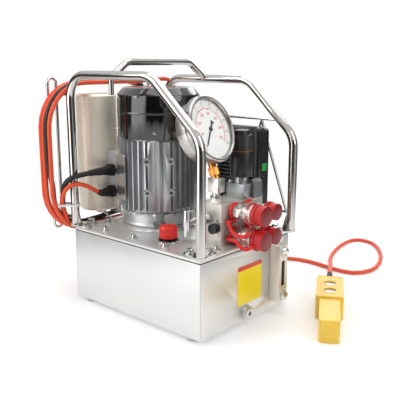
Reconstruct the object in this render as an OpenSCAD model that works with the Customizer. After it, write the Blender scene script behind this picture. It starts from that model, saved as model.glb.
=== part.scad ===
// Portable electric hydraulic power unit: a steel oil tank that carries a vertical motor and pump,
// a valve manifold with a pressure gauge and quick couplers, an oil cooler, a tubular roll frame,
// two coiled cables and a two-button hand pendant.
// X runs along the tank, Z is up, and the origin is on the floor under the middle of the tank.

/* [Tank] */
// Length of the tank along X
tank_l = 322; // [268:1:400]
// Depth of the tank along Y
tank_w = 250; // [208:1:320]
// Height of the welded tank box
tank_h = 132; // [110:1:170]
// Sheet thickness of the tank
tank_t = 2; // [1.5:0.5:4]
// Width of the flange that is turned in along the tank's open top
rim_w = 22; // [16:1:30]
// Height of a rubber foot
foot_h = 7; // [5:1:20]
// Diameter of a rubber foot
foot_d = 22; // [18:1:30]
// Distance of the feet from the tank's short ends
foot_inset_x = 28; // [20:1:50]
// Distance of the feet from the tank's long sides
foot_inset_y = 14; // [12:1:40]
// Diameter of the fixing hole through a foot
foot_hole_d = 6.5; // [5.5:0.5:8.5]
// Thickness of the cork and rubber gasket under the top plate
gasket_t = 2; // [1:0.5:4]
// Thickness of the top plate
plate_t = 4; // [3:0.5:10]

/* [Motor and pump] */
// Distance of the motor's axis from the tank's left end
motor_inset = 99; // [94:1:110]
// Position of the motor's axis along Y
motor_y = 7; // [0:1:10]
// Height of the drive-end shield
shield_h = 33; // [30:1:44]
// Height of the finned housing
housing_h = 144; // [130:1:160]
// Height of the fan cover
cover_h = 86; // [78:1:100]
// Diameter over the cooling fins
fin_d = 152; // [146:1:158]
// Diameter of the housing under the fins
housing_d = 134; // [130:1:138]
// Diameter of the stator's laminated core
core_d = 125; // [118:1:128]
// Length of the stator's core
core_l = 78; // [60:1:84]
// Bore of the stator
stator_bore = 76; // [70:1:82]
// Air gap between the rotor and the stator
air_gap = 0.5; // [0.3:0.1:1]
// Diameter of the motor shaft in its bearings
shaft_d = 19; // [16:1:22]
// Outer diameter of the ball bearings
bearing_d = 40; // [38:1:44]
// Diameter of the cooling fan
fan_d = 128; // [100:1:138]
// Diameter of the fan cover
cover_d = 156; // [152:1:162]
// Number of cooling fins
fin_count = 36; // [24:1:44]

/* [Frame] */
// Diameter of the frame tube
tube_d = 16; // [14:1:20]
// Wall of the frame tube
tube_t = 1.5; // [1:0.5:2.5]
// Height of the front hoop's top bar above the top plate
front_hoop_h = 286; // [276:1:330]
// Height of the rear hoop's top bar above the top plate
rear_hoop_h = 276; // [270:1:330]
// Distance of the front hoop's plane in from the side of the tank
hoop_inset = 8; // [4:1:12]
// Diameter of the carry handle's tube
handle_d = 12.5; // [11:0.5:14]
// Height of the carry handle's grip above the rear hoop
handle_rise = 33; // [30:1:50]
// Diameter of the wire of the cable rack and guards
wire_d = 6; // [5:0.5:7]

/* [Valves and gauge] */
// Size of the manifold along X
manifold_l = 50; // [46:1:56]
// Size of the manifold along Y
manifold_w = 118; // [100:1:124]
// Height of the manifold
manifold_h = 72; // [70:1:80]
// Diameter of the gauge's bezel
bezel_d = 118; // [110:1:120]
// Depth of the gauge's case
gauge_depth = 37; // [34:1:42]
// Backward tilt of the gauge's dial from upright
gauge_tilt = 21; // [15:1:24]
// Vertical distance between the two rows of couplers
coupler_pitch_z = 43; // [40:1:46]
// Distance between the two columns of couplers
coupler_pitch_y = 40; // [36:1:44]
// Diameter of the oil cooler's fan
cooler_fan_d = 84; // [70:1:88]

/* [Pendant] */
// Length of the pendant's wide head
head_l = 110; // [100:1:130]
// Width of the pendant's head
head_w = 50; // [44:1:60]
// Height of the pendant's head
head_h = 44; // [40:1:50]
// Length of the pendant's grip
grip_l = 100; // [80:1:130]
// Width of the pendant's grip
grip_w = 36; // [30:1:42]
// Wall of the pendant's shell
pendant_t = 3; // [2:0.5:4]
// Diameter of a push button
button_d = 22; // [18:1:26]
// Distance between the two push buttons
button_pitch = 38; // [28:1:44]
// Travel of a push button
button_travel = 3; // [2:0.5:4]

/* [Cables] */
// Diameter of the remote cable
remote_d = 8.5; // [7:0.5:9]
// Diameter of the mains cable
mains_d = 10; // [8:0.5:10.5]
// Width of the coiled cables along Y
coil_w = 288; // [280:1:300]
// Height of the coiled cables
coil_h = 286; // [280:1:296]
// Corner radius of the coiled cables, at the cable's centre
coil_r = 85; // [80:1:90]

/* [Hidden] */
$fn = 48;

run_fit = 0.05;    // radial clearance of a shaft in its bore
slide_fit = 0.3;   // radial clearance of a part that pulls or slides off
seat_gap = 0.1;    // radial clearance of a fixed part in its seat
face_gap = 0.3;    // gap under a moving part's flat face

// levels
floor_z = foot_h;                      // underside of the tank
tank_top = foot_h + tank_h;            // rim of the tank
plate_bottom = tank_top + gasket_t;
plate_top = plate_bottom + plate_t;
hx = tank_l / 2;
hy = tank_w / 2;
motor_x = -hx + motor_inset;

// motor levels
shield_top = plate_top + shield_h;
housing_top = shield_top + housing_h;
cover_top = housing_top + cover_h;
end_plate_t = 10;                      // non-drive end shield
core_z = shield_top + (housing_h - core_l) / 2 - 2;
lower_bearing_z = plate_top + 16;
bearing_h = 12;
pump_hole_d = 62;
pump_d = 92;
pump_h = 66;
pump_flange_t = 10;
pump_top = plate_bottom;
shaft_bottom = plate_bottom - 40;
fan_z = housing_top + 16;
fan_h = 26;
rib_y = 14;                            // ribs that a motor foot is bolted to, beside a fin
rib_w = 13;
boss_y = 22;
boss_d = 14;
boss_z = [42, 100];

// frame
hoop_bend = 45;
front_leg_l = -hx - 7;                 // legs of the front hoop
front_leg_r = hx - 6;
rear_leg_l = -hx + 6;                  // legs of the rear hoop
rear_leg_r = hx + 7;
front_y = -hy + hoop_inset;
rear_y = hy - hoop_inset / 2;
front_hoop_z = plate_top + front_hoop_h;
rear_hoop_z = plate_top + rear_hoop_h;
knee_bend = 50;
front_corner_x = front_leg_r - 108;    // where the front top bar turns down
front_knee_z = front_hoop_z - 96;
rear_corner_x = rear_leg_r - 106;
rear_knee_z = rear_hoop_z - 99;
pad_t = 4;                             // base plates of the hoops
bolt_d = 8;
peg_x = front_leg_l + 117;             // peg under the front top bar
peg_d = 9;
peg_h = 25;
handle_x = motor_x + 17;
handle_bend = 26;
handle_slope = 35;
handle_z = rear_hoop_z + handle_rise;

// cooler
cool_depth = 33;
cool_y1 = rear_y - 9;
cool_y0 = cool_y1 - cool_depth;
cool_x1 = hx - 41;
cool_x0 = cool_x1 - 98;
cool_z0 = plate_top + 6;
cool_z1 = cool_z0 + 186;
cool_fan_z = cool_z1 - 51;
cool_fan_x = (cool_x0 + cool_x1) / 2;
cool_wall = 3;
cool_corner = 10;
cool_shaft_d = 6;
cool_hub_d = 32;

// valves
man_x1 = hx - 29;                      // coupler face of the manifold
man_x0 = man_x1 - manifold_l;
man_y0 = cool_y0 - manifold_w;
man_top = plate_top + manifold_h;
coupler_z1 = plate_top + manifold_h / 2 + coupler_pitch_z / 2 + 1;
coupler_z0 = coupler_z1 - coupler_pitch_z;
coupler_thread = 16;
supply_y = man_y0 + 30;
return_y = supply_y + coupler_pitch_y;
neck_d = 24;
collar_d = 34;
collar_x = 29.5;                       // start of the sliding collar on a coupler
coupler_l = 50;                        // body of a coupler out from the manifold
supply_bore = 17;
nipple_d = 19;
nipple_l = 60;
supply_cap_d = 37;
return_cap_d = 31;
cap_l = 23;
cap_grip = 8;
relief_x = man_x1 - 30;
relief_z = plate_top + 46;
relief_d = 15;
tee_y = man_y0 - 54;
tee_l = 45;
tee_d = 11;
tee_stem_d = 8;
knob_x = man_x1 - 10;
knob_z = plate_top + 31;
knob_d = 17.5;
knob_stem_d = 6;
fitting_thread = 12;
valve_y0 = man_y0 + 63;
valve_w = 50;
valve_l = 40;
valve_h = 26;
valve_neck = 12;
sol_x = man_x1 - 20;
sol_y = valve_y0 + 17;
sol_d = 40;

// gauge: centre of the dial's front edge, and the stem below it
gauge_c = [man_x1 - 20, man_y0 + 3.4, man_top + 129.6];
gauge_turn = 4;                        // turn of the gauge about Z
block_x = man_x1 - 17;
block_y = man_y0 + 7;
block_z = man_top + 32;
case_d = bezel_d - 10;
stem_depth = 26;
pointer_rest = 38;                     // the pointer rests this far round from straight down
pointer_d = 3;

// terminal box and capacitor
box_x1 = motor_x - housing_d / 2 + 25;
box_x0 = box_x1 - 46;
box_y0 = motor_y - 49;
box_y1 = motor_y + 39;
box_z0 = shield_top + 12;
box_z1 = box_z0 + 94;
box_wall = 2.5;
lid_t = 6;
gland_x = box_x0 + 7;
gland_z1 = box_z0 + 57.5;
gland_z0 = box_z0 + 15;
gland_l = 30;
gland_thread = 13;
can_x = -hx - 37;
can_y = motor_y - 40;
can_d = 80;
can_z0 = plate_top + 18;
can_z1 = can_z0 + 230;
shelf_t = 4;                           // shelf that the can is bolted to
stud_d = 8;
bar_y = can_y + can_d / 2 + seat_gap;
bar_foot = [-hx + 11, bar_y + 16];     // bolt of the capacitor bracket's foot

// cables
coil_y = -12;
coil_z = plate_top + 127;
coil_gap = 0.2;
ring_a_x = front_leg_l - 38.8;         // two outer orange turns side by side
ring_b_x = front_leg_l - 25.3;         // black turns
ring_c_x = front_leg_l - 15.9;         // inner orange turn
rack_x = front_leg_l - 51;
rack_w = 25;
rack_z0 = coil_z - 141;
rack_z1 = coil_z + 155;

// pendant
pendant_at = [208, 205, 0];
pendant_turn = -60;
boot_l = 46;
boot_z = 32;
button_x = 38.5;
button_recess = 2;
button_lip = 2.5;
grip_h = 40;

remote_lead_route = [[-143, -72, 205], [-145, -85, 212], [-148, -101, 222], [-153, -117, 228],
    [-159, -131, 227], [-167, -139, 217], [-175, -141, 202], [-180, -138, 187],
    [-182, -131, 172], [-182, -121, 159]];
mains_lead_route = [[-143, -72, 247.5], [-145, -88, 247.5], [-149, -107, 246], [-155, -124, 243],
    [-165, -133, 236], [-176, -135, 222], [-184, -132, 205], [-191, -128, 184],
    [-195, -121, 162]];
mains_tail_route = [[-194, 82, 130], [-198, 96, 124], [-205, 106, 112], [-209, 110, 98]];
remote_run_route = [[-180, 52, 414], [-172, 72, 416], [-163, 94, 418], [-155, 112, 419],
    [-151, 127, 416.5], [-149, 139, 401], [-149, 147, 352], [-148, 150, 270], [-146, 152, 190],
    [-138, 158, 115], [-118, 182, 48], [-84, 236, 9], [-40, 303, 4.3], [14, 347, 4.3],
    [68, 361, 4.3], [130, 352, 4.3], [178, 356, 4.3], [201, 396, 4.3], [192, 458, 4.3],
    [160, 530, 4.3], [110, 592, 4.3], [66, 598, 4.3], [54, 556, 4.3], [66, 484, 4.3],
    [90, 416, 5], [126, 352, 14], [152, 305, 24], [173, 266, 31], [185, 244.8, 32]];
plug_at = [-209, 110, 98];

// ---------- shared shapes ----------

// point on a smooth curve through p, between points i and i + 1
function wrap_point(p, i) = p[max(0, min(len(p) - 1, i))];
function curve_point(p, i, t) =
    let (a = wrap_point(p, i - 1), b = wrap_point(p, i), c = wrap_point(p, i + 1),
         d = wrap_point(p, i + 2))
    0.5 * (2 * b + (c - a) * t + (2 * a - 5 * b + 4 * c - d) * t * t
        + (3 * b - 3 * c + d - a) * t * t * t);
function smooth_route(p, steps) =
    [for (i = [0 : len(p) - 2]) for (s = [0 : steps - 1]) curve_point(p, i, s / steps),
     p[len(p) - 1]];
function unit(v) = v / norm(v);
function tangent(p, i) = unit(wrap_point(p, i + 1) - wrap_point(p, i - 1));
function side_of(t, u) = unit(u - (u * t) * t);
// one side vector for each point, carried along without twist
function carried(p, u0) =
    [for (i = 0, u = side_of(tangent(p, 0), u0); i < len(p);
          i = i + 1, u = side_of(tangent(p, min(i, len(p) - 1)), u)) u];

// a cable of diameter d along a route
module cable(route, d, steps, sides = 10) {
    p = smooth_route(route, steps);
    n = len(p);
    u = carried(p, [0.31, 0.2, 0.93]);
    points = [for (i = [0 : n - 1]) let (w = cross(tangent(p, i), u[i]))
        for (k = [0 : sides - 1]) p[i] + d / 2 * (cos(360 * k / sides) * u[i]
            + sin(360 * k / sides) * w)];
    walls = [for (i = [0 : n - 2]) for (k = [0 : sides - 1]) let (j = (k + 1) % sides)
        for (f = [[i * sides + k, (i + 1) * sides + j, i * sides + j],
                  [i * sides + k, (i + 1) * sides + k, (i + 1) * sides + j]]) f];
    first = [for (k = [0 : sides - 1]) k];
    last = [for (k = [sides - 1 : -1 : 0]) (n - 1) * sides + k];
    polyhedron(points = points, faces = concat(walls, [first, last]), convexity = 8);
}

// rectangle with rounded corners, built from circles so its arcs stay true
module rounded(w, h, r) {
    square([w - 2 * r, h], center = true);
    square([w, h - 2 * r], center = true);
    for (x = [-1, 1], y = [-1, 1])
        translate([x * (w / 2 - r), y * (h / 2 - r)]) circle(r);
}

module slab(w, d, h, r) {
    linear_extrude(h) rounded(w, d, r);
}

// straight round bar from a to b
module tube_run(a, b, d) {
    v = b - a;
    translate(a) rotate([0, acos(v[2] / norm(v)), atan2(v[1], v[0])]) cylinder(d = d, h = norm(v));
}

bend_lap = 0.3;    // how far a bend runs into the straight bar at each end
bend_thin = 0.1;   // how much thinner than its bar a bend is, so that it seats inside it

// bend about +Z from angle a0 through turn, for bars of diameter d
module bend(r, a0, turn, d) {
    lap = bend_lap / r * 180 / PI;
    rotate([0, 0, a0 - lap]) rotate_extrude(angle = turn + 2 * lap)
        translate([r, 0]) circle(d = d - bend_thin);
}

// bend in the plane of X and Z around c, measured from +X to +Z
module bend_xz(c, r, a0, turn, d) {
    translate(c) rotate([90, 0, 0]) bend(r, a0, turn, d);
}

// bend in the plane of Y and Z around c, measured from +Y to +Z
module bend_yz(c, r, a0, turn, d) {
    translate(c) rotate([90, 0, 90]) bend(r, a0, turn, d);
}

module hex_head(d, h) {
    cylinder(d = d / cos(30), h = h, $fn = 6);
}

// hex bolt standing on z = 0 with a washer, shank below
module hex_bolt(d, shank) {
    cylinder(d = 2.1 * d, h = 0.2 * d);
    translate([0, 0, 0.2 * d]) hex_head(1.6 * d, 0.65 * d);
    translate([0, 0, -shank]) cylinder(d = d, h = shank);
}

// socket screw standing on z = 0, shank below
module socket_screw(d, shank) {
    difference() {
        cylinder(d = 1.6 * d, h = d);
        translate([0, 0, 0.5 * d]) hex_head(0.85 * d, d);
    }
    translate([0, 0, -shank]) cylinder(d = d, h = shank);
}

// ---------- tank ----------

foot_pts = [for (x = [-1, 1], y = [-1, 1]) [x * (hx - foot_inset_x), y * (hy - foot_inset_y)]];
screw_x = [-hx + 66, -hx + 144, man_x0 - 21];
screw_inset = 21;
screw_pts = concat([for (x = screw_x) [x, -hy + screw_inset]],
    [[screw_x[0], hy - screw_inset], [screw_x[1], hy - screw_inset],
     [hx - screw_inset, -60], [hx - screw_inset, (supply_y + return_y) / 2],
     [hx - screw_inset, 62],
     [-hx + screw_inset, 60], [-hx + screw_inset, -60]]);
front_pad_pts = [[front_leg_l + 28, front_y + 2], [front_leg_l + 16, front_y + 25],
    [front_leg_r - 29, front_y + 6], [front_leg_r - 5, front_y + 28]];
rear_pad_pts = [[rear_leg_l + 29, rear_y - 7], [rear_leg_l + 6, rear_y - 31],
    [rear_leg_r - 30, rear_y - 7], [rear_leg_r - 18, rear_y - 28]];
pad_pts = concat(front_pad_pts, rear_pad_pts, [bar_foot]);
filler_at = [man_x0 - 37, -hy + 46];
filler_bore = 30;
port_pts = [[man_x0 + 14, man_y0 + 30], [man_x0 + 14, man_y0 + 66]];
drain_y = -2;
drain_z = 20;
drain_bore = 12;
level_y = 78;
level_z0 = 36;
level_z1 = 119;
banjo_d = 8;

module tank() {
    color([0.82, 0.82, 0.8]) difference() {
        translate([0, 0, floor_z]) slab(tank_l, tank_w, tank_h, 2);
        translate([-hx + tank_t, -hy + tank_t, floor_z + tank_t])
            cube([tank_l - 2 * tank_t, tank_w - 2 * tank_t, tank_h - 2 * tank_t]);
        translate([-hx + rim_w + tank_t, -hy + rim_w + tank_t, floor_z + tank_t])
            cube([tank_l - 2 * (rim_w + tank_t), tank_w - 2 * (rim_w + tank_t), tank_h]);
        for (p = concat(screw_pts, pad_pts))
            translate([p[0], p[1], tank_top - 2 * tank_t]) cylinder(d = bolt_d + 0.4, h = 10);
        translate([hx - 5, drain_y, drain_z]) rotate([0, 90, 0])
            cylinder(d = drain_bore + 2 * seat_gap, h = 10);
        for (z = [level_z0, level_z1]) translate([hx - 5, level_y, z]) rotate([0, 90, 0])
            cylinder(d = banjo_d + 2 * seat_gap, h = 10);
    }
}

module rubber_feet() {
    color([0.75, 0.75, 0.74]) for (p = foot_pts) translate([p[0], p[1], 0]) difference() {
        cylinder(d = foot_d, h = foot_h);
        translate([0, 0, -1]) cylinder(d = foot_hole_d, h = foot_h + 2);
    }
}

module lid_gasket() {
    color([0.08, 0.08, 0.08]) translate([0, 0, tank_top]) difference() {
        slab(tank_l, tank_w, gasket_t, 2);
        translate([-hx + rim_w, -hy + rim_w, -1])
            cube([tank_l - 2 * rim_w, tank_w - 2 * rim_w, gasket_t + 2]);
        for (p = concat(screw_pts, pad_pts)) translate([p[0], p[1], -1])
            cylinder(d = bolt_d + 0.4, h = gasket_t + 2);
    }
}

module top_plate() {
    color([0.8, 0.79, 0.78]) translate([0, 0, plate_bottom]) difference() {
        slab(tank_l, tank_w, plate_t, 2);
        for (p = concat(screw_pts, pad_pts)) translate([p[0], p[1], -1])
            cylinder(d = bolt_d + 0.4, h = plate_t + 2);
        translate([motor_x, motor_y, -1]) cylinder(d = pump_hole_d, h = plate_t + 2);
        translate([filler_at[0], filler_at[1], -1])
            cylinder(d = filler_bore + 2 * seat_gap, h = plate_t + 2);
        for (p = port_pts) translate([p[0], p[1], -1]) cylinder(d = 12, h = plate_t + 2);
    }
}

module fasteners() {
    color([0.85, 0.85, 0.86]) {
        for (p = screw_pts) translate([p[0], p[1], plate_top]) {
            cylinder(d = 14, h = 1.2);
            translate([0, 0, 1.2]) socket_screw(6, 12);
        }
        for (p = pad_pts) translate([p[0], p[1], plate_top + pad_t]) hex_bolt(bolt_d, 14);
        for (z = [level_z0, level_z1]) translate([hx + level_out, level_y, z]) rotate([0, 90, 0])
            hex_bolt(banjo_d, level_out + 6);
        for (a = [-50, 40, 130, 220]) translate([motor_x, motor_y, housing_top + 8])
            rotate([0, 0, a]) translate([cover_d / 2, 0, 0]) rotate([0, 90, 0])
                cylinder(d1 = 8, d2 = 6, h = 2.5);
    }
}

// drain boss with a plug that has a hex socket
module drain_plug() {
    color([0.85, 0.85, 0.86]) translate([hx, drain_y, drain_z]) rotate([0, 90, 0]) difference() {
        union() {
            cylinder(d = 26, h = 5);
            translate([0, 0, 5]) cylinder(d = 20, h = 3);
            translate([0, 0, -6]) cylinder(d = drain_bore, h = 6);
        }
        translate([0, 0, 3]) hex_head(8, 6);
    }
}

// ---------- oil level gauge ----------

guard_w = 25;
guard_z0 = 24;
guard_z1 = 130;
level_out = 22;

module level_guard() {
    color([0.84, 0.84, 0.83]) difference() {
        translate([hx, level_y - guard_w / 2, guard_z0])
            cube([level_out, guard_w, guard_z1 - guard_z0]);
        translate([hx - 1, level_y - guard_w / 2 + 1.5, guard_z0 + 1.5])
            cube([level_out - 0.5, guard_w - 3, guard_z1 - guard_z0 - 3]);
        translate([hx + level_out - 3, level_y - 5, level_z0 + 18])
            cube([5, 10, level_z1 - level_z0 - 36]);
        for (z = [level_z0, level_z1]) translate([hx + level_out - 3, level_y, z])
            rotate([0, 90, 0]) cylinder(d = banjo_d + 2 * seat_gap, h = 5);
    }
}

module level_tube() {
    color([0.9, 0.75, 0.3]) difference() {
        union() {
            translate([hx + 11, level_y, level_z0]) cylinder(d = 11, h = level_z1 - level_z0);
            for (z = [level_z0, level_z1]) translate([hx, level_y, z]) rotate([0, 90, 0])
                cylinder(d = 16, h = level_out - 1.5);
        }
        for (z = [level_z0, level_z1]) translate([hx - 1, level_y, z]) rotate([0, 90, 0])
            cylinder(d = banjo_d + 2 * seat_gap, h = level_out + 2);
    }
}

// ---------- roll frame ----------

// the line of a hoop as a solid bar of diameter d: left leg, top bar, sloping part, right leg
module hoop_bar(y, xl, xr, xc, zt, zk, foot, d) {
    slope = atan2(zt - zk, xr - xc);               // fall of the sloping part
    cut = knee_bend * tan(slope / 2);              // length the upper bend takes from the bar
    kcut = knee_bend * tan((90 - slope) / 2);
    tube_run([xl, y, foot], [xl, y, zt - hoop_bend], d);
    bend_xz([xl + hoop_bend, y, zt - hoop_bend], hoop_bend, 90, 90, d);
    tube_run([xl + hoop_bend, y, zt], [xc - cut, y, zt], d);
    bend_xz([xc - cut, y, zt - knee_bend], knee_bend, 90 - slope, slope, d);
    tube_run([xc + cut * cos(slope), y, zt - cut * sin(slope)],
        [xr - kcut * cos(slope), y, zk + kcut * sin(slope)], d);
    bend_xz([xr - knee_bend, y, zk - kcut], knee_bend, 0, 90 - slope, d);
    tube_run([xr, y, foot], [xr, y, zk - kcut], d);
}

// a bent tube hoop
module hoop(y, xl, xr, xc, zt, zk) {
    foot = plate_top + pad_t;
    difference() {
        hoop_bar(y, xl, xr, xc, zt, zk, foot, tube_d);
        hoop_bar(y, xl, xr, xc, zt, zk, foot - 1, tube_d - 2 * tube_t);
    }
}

// angled base plate with two bolt holes and a gusset up the leg
module hoop_pad(leg, pts, side_x, gusset) {
    translate([0, 0, plate_top]) difference() {
        union() {
            for (p = pts) hull() {
                translate([leg[0], leg[1], 0]) cylinder(d = tube_d + 3, h = pad_t, $fn = 24);
                translate([p[0], p[1], 0]) cylinder(d = 22, h = pad_t, $fn = 24);
            }
        }
        for (p = pts) translate([p[0], p[1], -1]) cylinder(d = bolt_d + 0.4, h = pad_t + 2);
    }
    if (gusset) translate([leg[0] + side_x * tube_d / 2, leg[1] + 1.5, plate_top + pad_t])
        rotate([90, 0, 0]) linear_extrude(3)
            polygon([[-side_x, 0], [side_x * 10, 0], [side_x, 30], [-side_x, 30]]);
}

module front_hoop() {
    color([0.86, 0.86, 0.85]) {
        hoop(front_y, front_leg_l, front_leg_r, front_corner_x, front_hoop_z, front_knee_z);
        hoop_pad([front_leg_l, front_y], [front_pad_pts[0], front_pad_pts[1]], 1, true);
        hoop_pad([front_leg_r, front_y], [front_pad_pts[2], front_pad_pts[3]], -1, false);
        translate([peg_x, front_y, front_hoop_z - tube_d / 2 - peg_h])
            cylinder(d = peg_d, h = peg_h + 1);
    }
}

module rear_hoop() {
    color([0.86, 0.86, 0.85]) {
        hoop(rear_y, rear_leg_l, rear_leg_r, rear_corner_x, rear_hoop_z, rear_knee_z);
        hoop_pad([rear_leg_l, rear_y], [rear_pad_pts[0], rear_pad_pts[1]], 1, false);
        hoop_pad([rear_leg_r, rear_y], [rear_pad_pts[2], rear_pad_pts[3]], -1, true);
    }
}

// grip tube across the two hoops, with a sloping end at each hoop
module carry_handle() {
    slope = handle_slope;
    cut = handle_bend * tan(slope / 2);
    yf1 = front_y + (handle_z - front_hoop_z) / tan(slope);
    yr1 = rear_y - (handle_z - rear_hoop_z) / tan(slope);
    color([0.86, 0.86, 0.85]) difference() {
        union() {
            tube_run([handle_x, front_y, front_hoop_z], [handle_x, yf1 - cut * cos(slope),
                handle_z - cut * sin(slope)], handle_d);
            bend_yz([handle_x, yf1 + cut, handle_z - handle_bend], handle_bend, 90, slope, handle_d);
            tube_run([handle_x, yf1 + cut, handle_z], [handle_x, yr1 - cut, handle_z],
                handle_d);
            bend_yz([handle_x, yr1 - cut, handle_z - handle_bend], handle_bend, 90 - slope,
                slope, handle_d);
            tube_run([handle_x, rear_y, rear_hoop_z], [handle_x, yr1 + cut * cos(slope),
                handle_z - cut * sin(slope)], handle_d);
        }
        translate([handle_x - 40, front_y, front_hoop_z]) rotate([0, 90, 0])
            cylinder(d = tube_d + 2 * seat_gap, h = 80);
        translate([handle_x - 40, rear_y, rear_hoop_z]) rotate([0, 90, 0])
            cylinder(d = tube_d + 2 * seat_gap, h = 80);
    }
}

// tall wire loop that keeps the coiled cables on the rack, on two wire arms from a leg
module rack_loop(y, leg_x, arm_y, arm_z) {
    r = rack_w / 2 - wire_d / 2;
    for (s = [-1, 1]) translate([rack_x, y + s * r, rack_z0 + rack_w / 2])
        cylinder(d = wire_d, h = rack_z1 - rack_z0 - rack_w);
    bend_yz([rack_x, y, rack_z1 - rack_w / 2], r, 0, 180, wire_d);
    bend_yz([rack_x, y, rack_z0 + rack_w / 2], r, 180, 180, wire_d);
    for (z = arm_z) translate([rack_x, arm_y, z]) rotate([0, 90, 0])
        cylinder(d = wire_d, h = leg_x - rack_x);
}

module cable_rack() {
    color([0.84, 0.84, 0.83]) difference() {
        union() {
            rack_loop(front_y - 4, front_leg_l, front_y + 4, [coil_z - 112, coil_z + 122.2]);
            rack_loop(rear_y, rear_leg_l, rear_y - 8, [coil_z - 95, coil_z + 97]);
        }
        translate([front_leg_l, front_y, plate_top]) cylinder(d = tube_d + 2 * seat_gap, h = 260);
        translate([rear_leg_l, rear_y, plate_top]) cylinder(d = tube_d + 2 * seat_gap, h = 250);
    }
}

// thin wires behind the cooler: a cross wire and an upturned V that keeps cables off it
guard_d = 5;
guard_z = rear_knee_z + 28;
guard_y = rear_y + tube_d / 2 + guard_d / 2 + seat_gap;
guard_foot_z = plate_top + 33;
guard_l = rear_leg_r - 140;
guard_r = rear_leg_r - 18;

module guard_wires() {
    apex = [(guard_l + guard_r) / 2, guard_y, guard_z - 4];
    weld = guard_d + 1.4;
    color([0.84, 0.84, 0.83]) difference() {
        union() {
            translate([rear_leg_l, rear_y, guard_z]) rotate([0, 90, 0])
                cylinder(d = guard_d, h = rear_leg_r - rear_leg_l - 20);
            for (x = [guard_l, guard_r]) {
                tube_run(apex, [x, guard_y, guard_foot_z], guard_d);
                translate([x, guard_y, guard_foot_z]) sphere(d = weld);
            }
            translate(apex) sphere(d = weld);
            translate([guard_l, guard_y, guard_foot_z]) rotate([0, 90, 0])
                cylinder(d = guard_d + 0.6, h = rear_leg_r - guard_l);
            translate([apex[0], rear_y, guard_z]) rotate([-90, 0, 0])
                cylinder(d = guard_d - 1, h = guard_y - rear_y);
        }
        translate([rear_leg_l, rear_y, plate_top]) cylinder(d = tube_d + 2 * seat_gap, h = 250);
        translate([rear_leg_r, rear_y, plate_top]) cylinder(d = tube_d + 2 * seat_gap, h = 120);
        tube_run([rear_corner_x, rear_y, rear_hoop_z], [rear_leg_r, rear_y, rear_knee_z],
            tube_d + 2 * seat_gap);
    }
}

// ---------- motor ----------

// true where a fin at angle a would stand in the way of the terminal box or a foot rib
function beside(a, b) = abs(a - b) > 4 && abs(a - b) < 17;
function fin_blocked(a) = (a > 130 && a < 232) || beside(a, 315) || beside(a, 45);

module motor_housing() {
    bore = core_d + 2 * seat_gap;
    color([0.62, 0.63, 0.64]) translate([motor_x, motor_y, 0]) difference() {
        union() {
            translate([0, 0, shield_top]) cylinder(d = housing_d, h = housing_h);
            for (i = [0 : fin_count - 1]) let (a = 360 * (i + 0.5) / fin_count)
                if (!fin_blocked(a)) rotate([0, 0, a])
                    translate([housing_d / 2 - 2, -1.2, shield_top + 5])
                        cube([(fin_d - housing_d) / 2 + 2, 2.4, housing_h - 14]);
            for (a = [-45, 45], s = [-1, 1]) rotate([0, 0, a]) {
                translate([housing_d / 2 - 8, s * rib_y - rib_w / 2, shield_top + 5])
                    cube([fin_d / 2 - housing_d / 2 + 5, rib_w, housing_h - 14]);
                for (z = boss_z) translate([housing_d / 2 - 6, s * boss_y, shield_top + z])
                    rotate([0, 90, 0]) cylinder(d = boss_d, h = fin_d / 2 - housing_d / 2 + 6);
            }
            for (a = [-50, 40, 130, 220]) rotate([0, 0, a])
                translate([housing_d / 2 - 12, -7, housing_top - 10])
                    cube([(cover_d - housing_d) / 2 + 9.8, 14, 22]);
        }
        translate([0, 0, shield_top - 1]) cylinder(d = bore, h = housing_h - end_plate_t + 1);
        translate([0, 0, housing_top - end_plate_t - 1])
            cylinder(d = bearing_d + 2 * seat_gap, h = end_plate_t + 2);
        translate([0, 0, housing_top]) cylinder(d = housing_d - 20, h = 20);
        for (a = [-45, 45], s = [-1, 1], z = boss_z) rotate([0, 0, a])
            translate([housing_d / 2, s * boss_y, shield_top + z]) rotate([0, 90, 0])
                cylinder(d = 6, h = 20);
    }
}

module motor_stator() {
    wind = 14;
    color([0.55, 0.35, 0.2]) translate([motor_x, motor_y, 0]) difference() {
        union() {
            translate([0, 0, core_z]) cylinder(d = core_d, h = core_l);
            translate([0, 0, core_z - wind]) cylinder(d = core_d - 6, h = core_l + 2 * wind);
        }
        translate([0, 0, core_z - wind - 1]) cylinder(d = stator_bore, h = core_l + 2 * wind + 2);
    }
}

module drive_end_shield() {
    seat = bearing_d / 2 + seat_gap;
    r0 = fin_d / 2 - 2;
    color([0.78, 0.78, 0.77]) translate([motor_x, motor_y, 0]) difference() {
        union() {
            rotate_extrude() polygon([[14, plate_top], [r0 - 1, plate_top], [r0, plate_top + 1],
                [r0, plate_top + 6], [r0 - 3, plate_top + 9], [r0 - 4, shield_top],
                [core_d / 2 - 4, shield_top],
                [core_d / 2 - 8, plate_top + 20], [seat + 4, plate_top + 20],
                [seat + 4, lower_bearing_z + bearing_h], [seat, lower_bearing_z + bearing_h],
                [seat, lower_bearing_z], [14, lower_bearing_z]]);
            for (a = [0 : 90 : 270]) rotate([0, 0, a + 45])
                translate([housing_d / 2 - 4, -8, plate_top + 6]) cube([11, 16, shield_h - 6]);
        }
    }
}

module motor_bearings() {
    color([0.75, 0.76, 0.78]) for (z = [lower_bearing_z, housing_top - bearing_h + 1])
        translate([motor_x, motor_y, z]) difference() {
            cylinder(d = bearing_d, h = bearing_h - 1);
            translate([0, 0, -1]) cylinder(d = shaft_d + 2 * run_fit, h = bearing_h + 1);
        }
}

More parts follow.
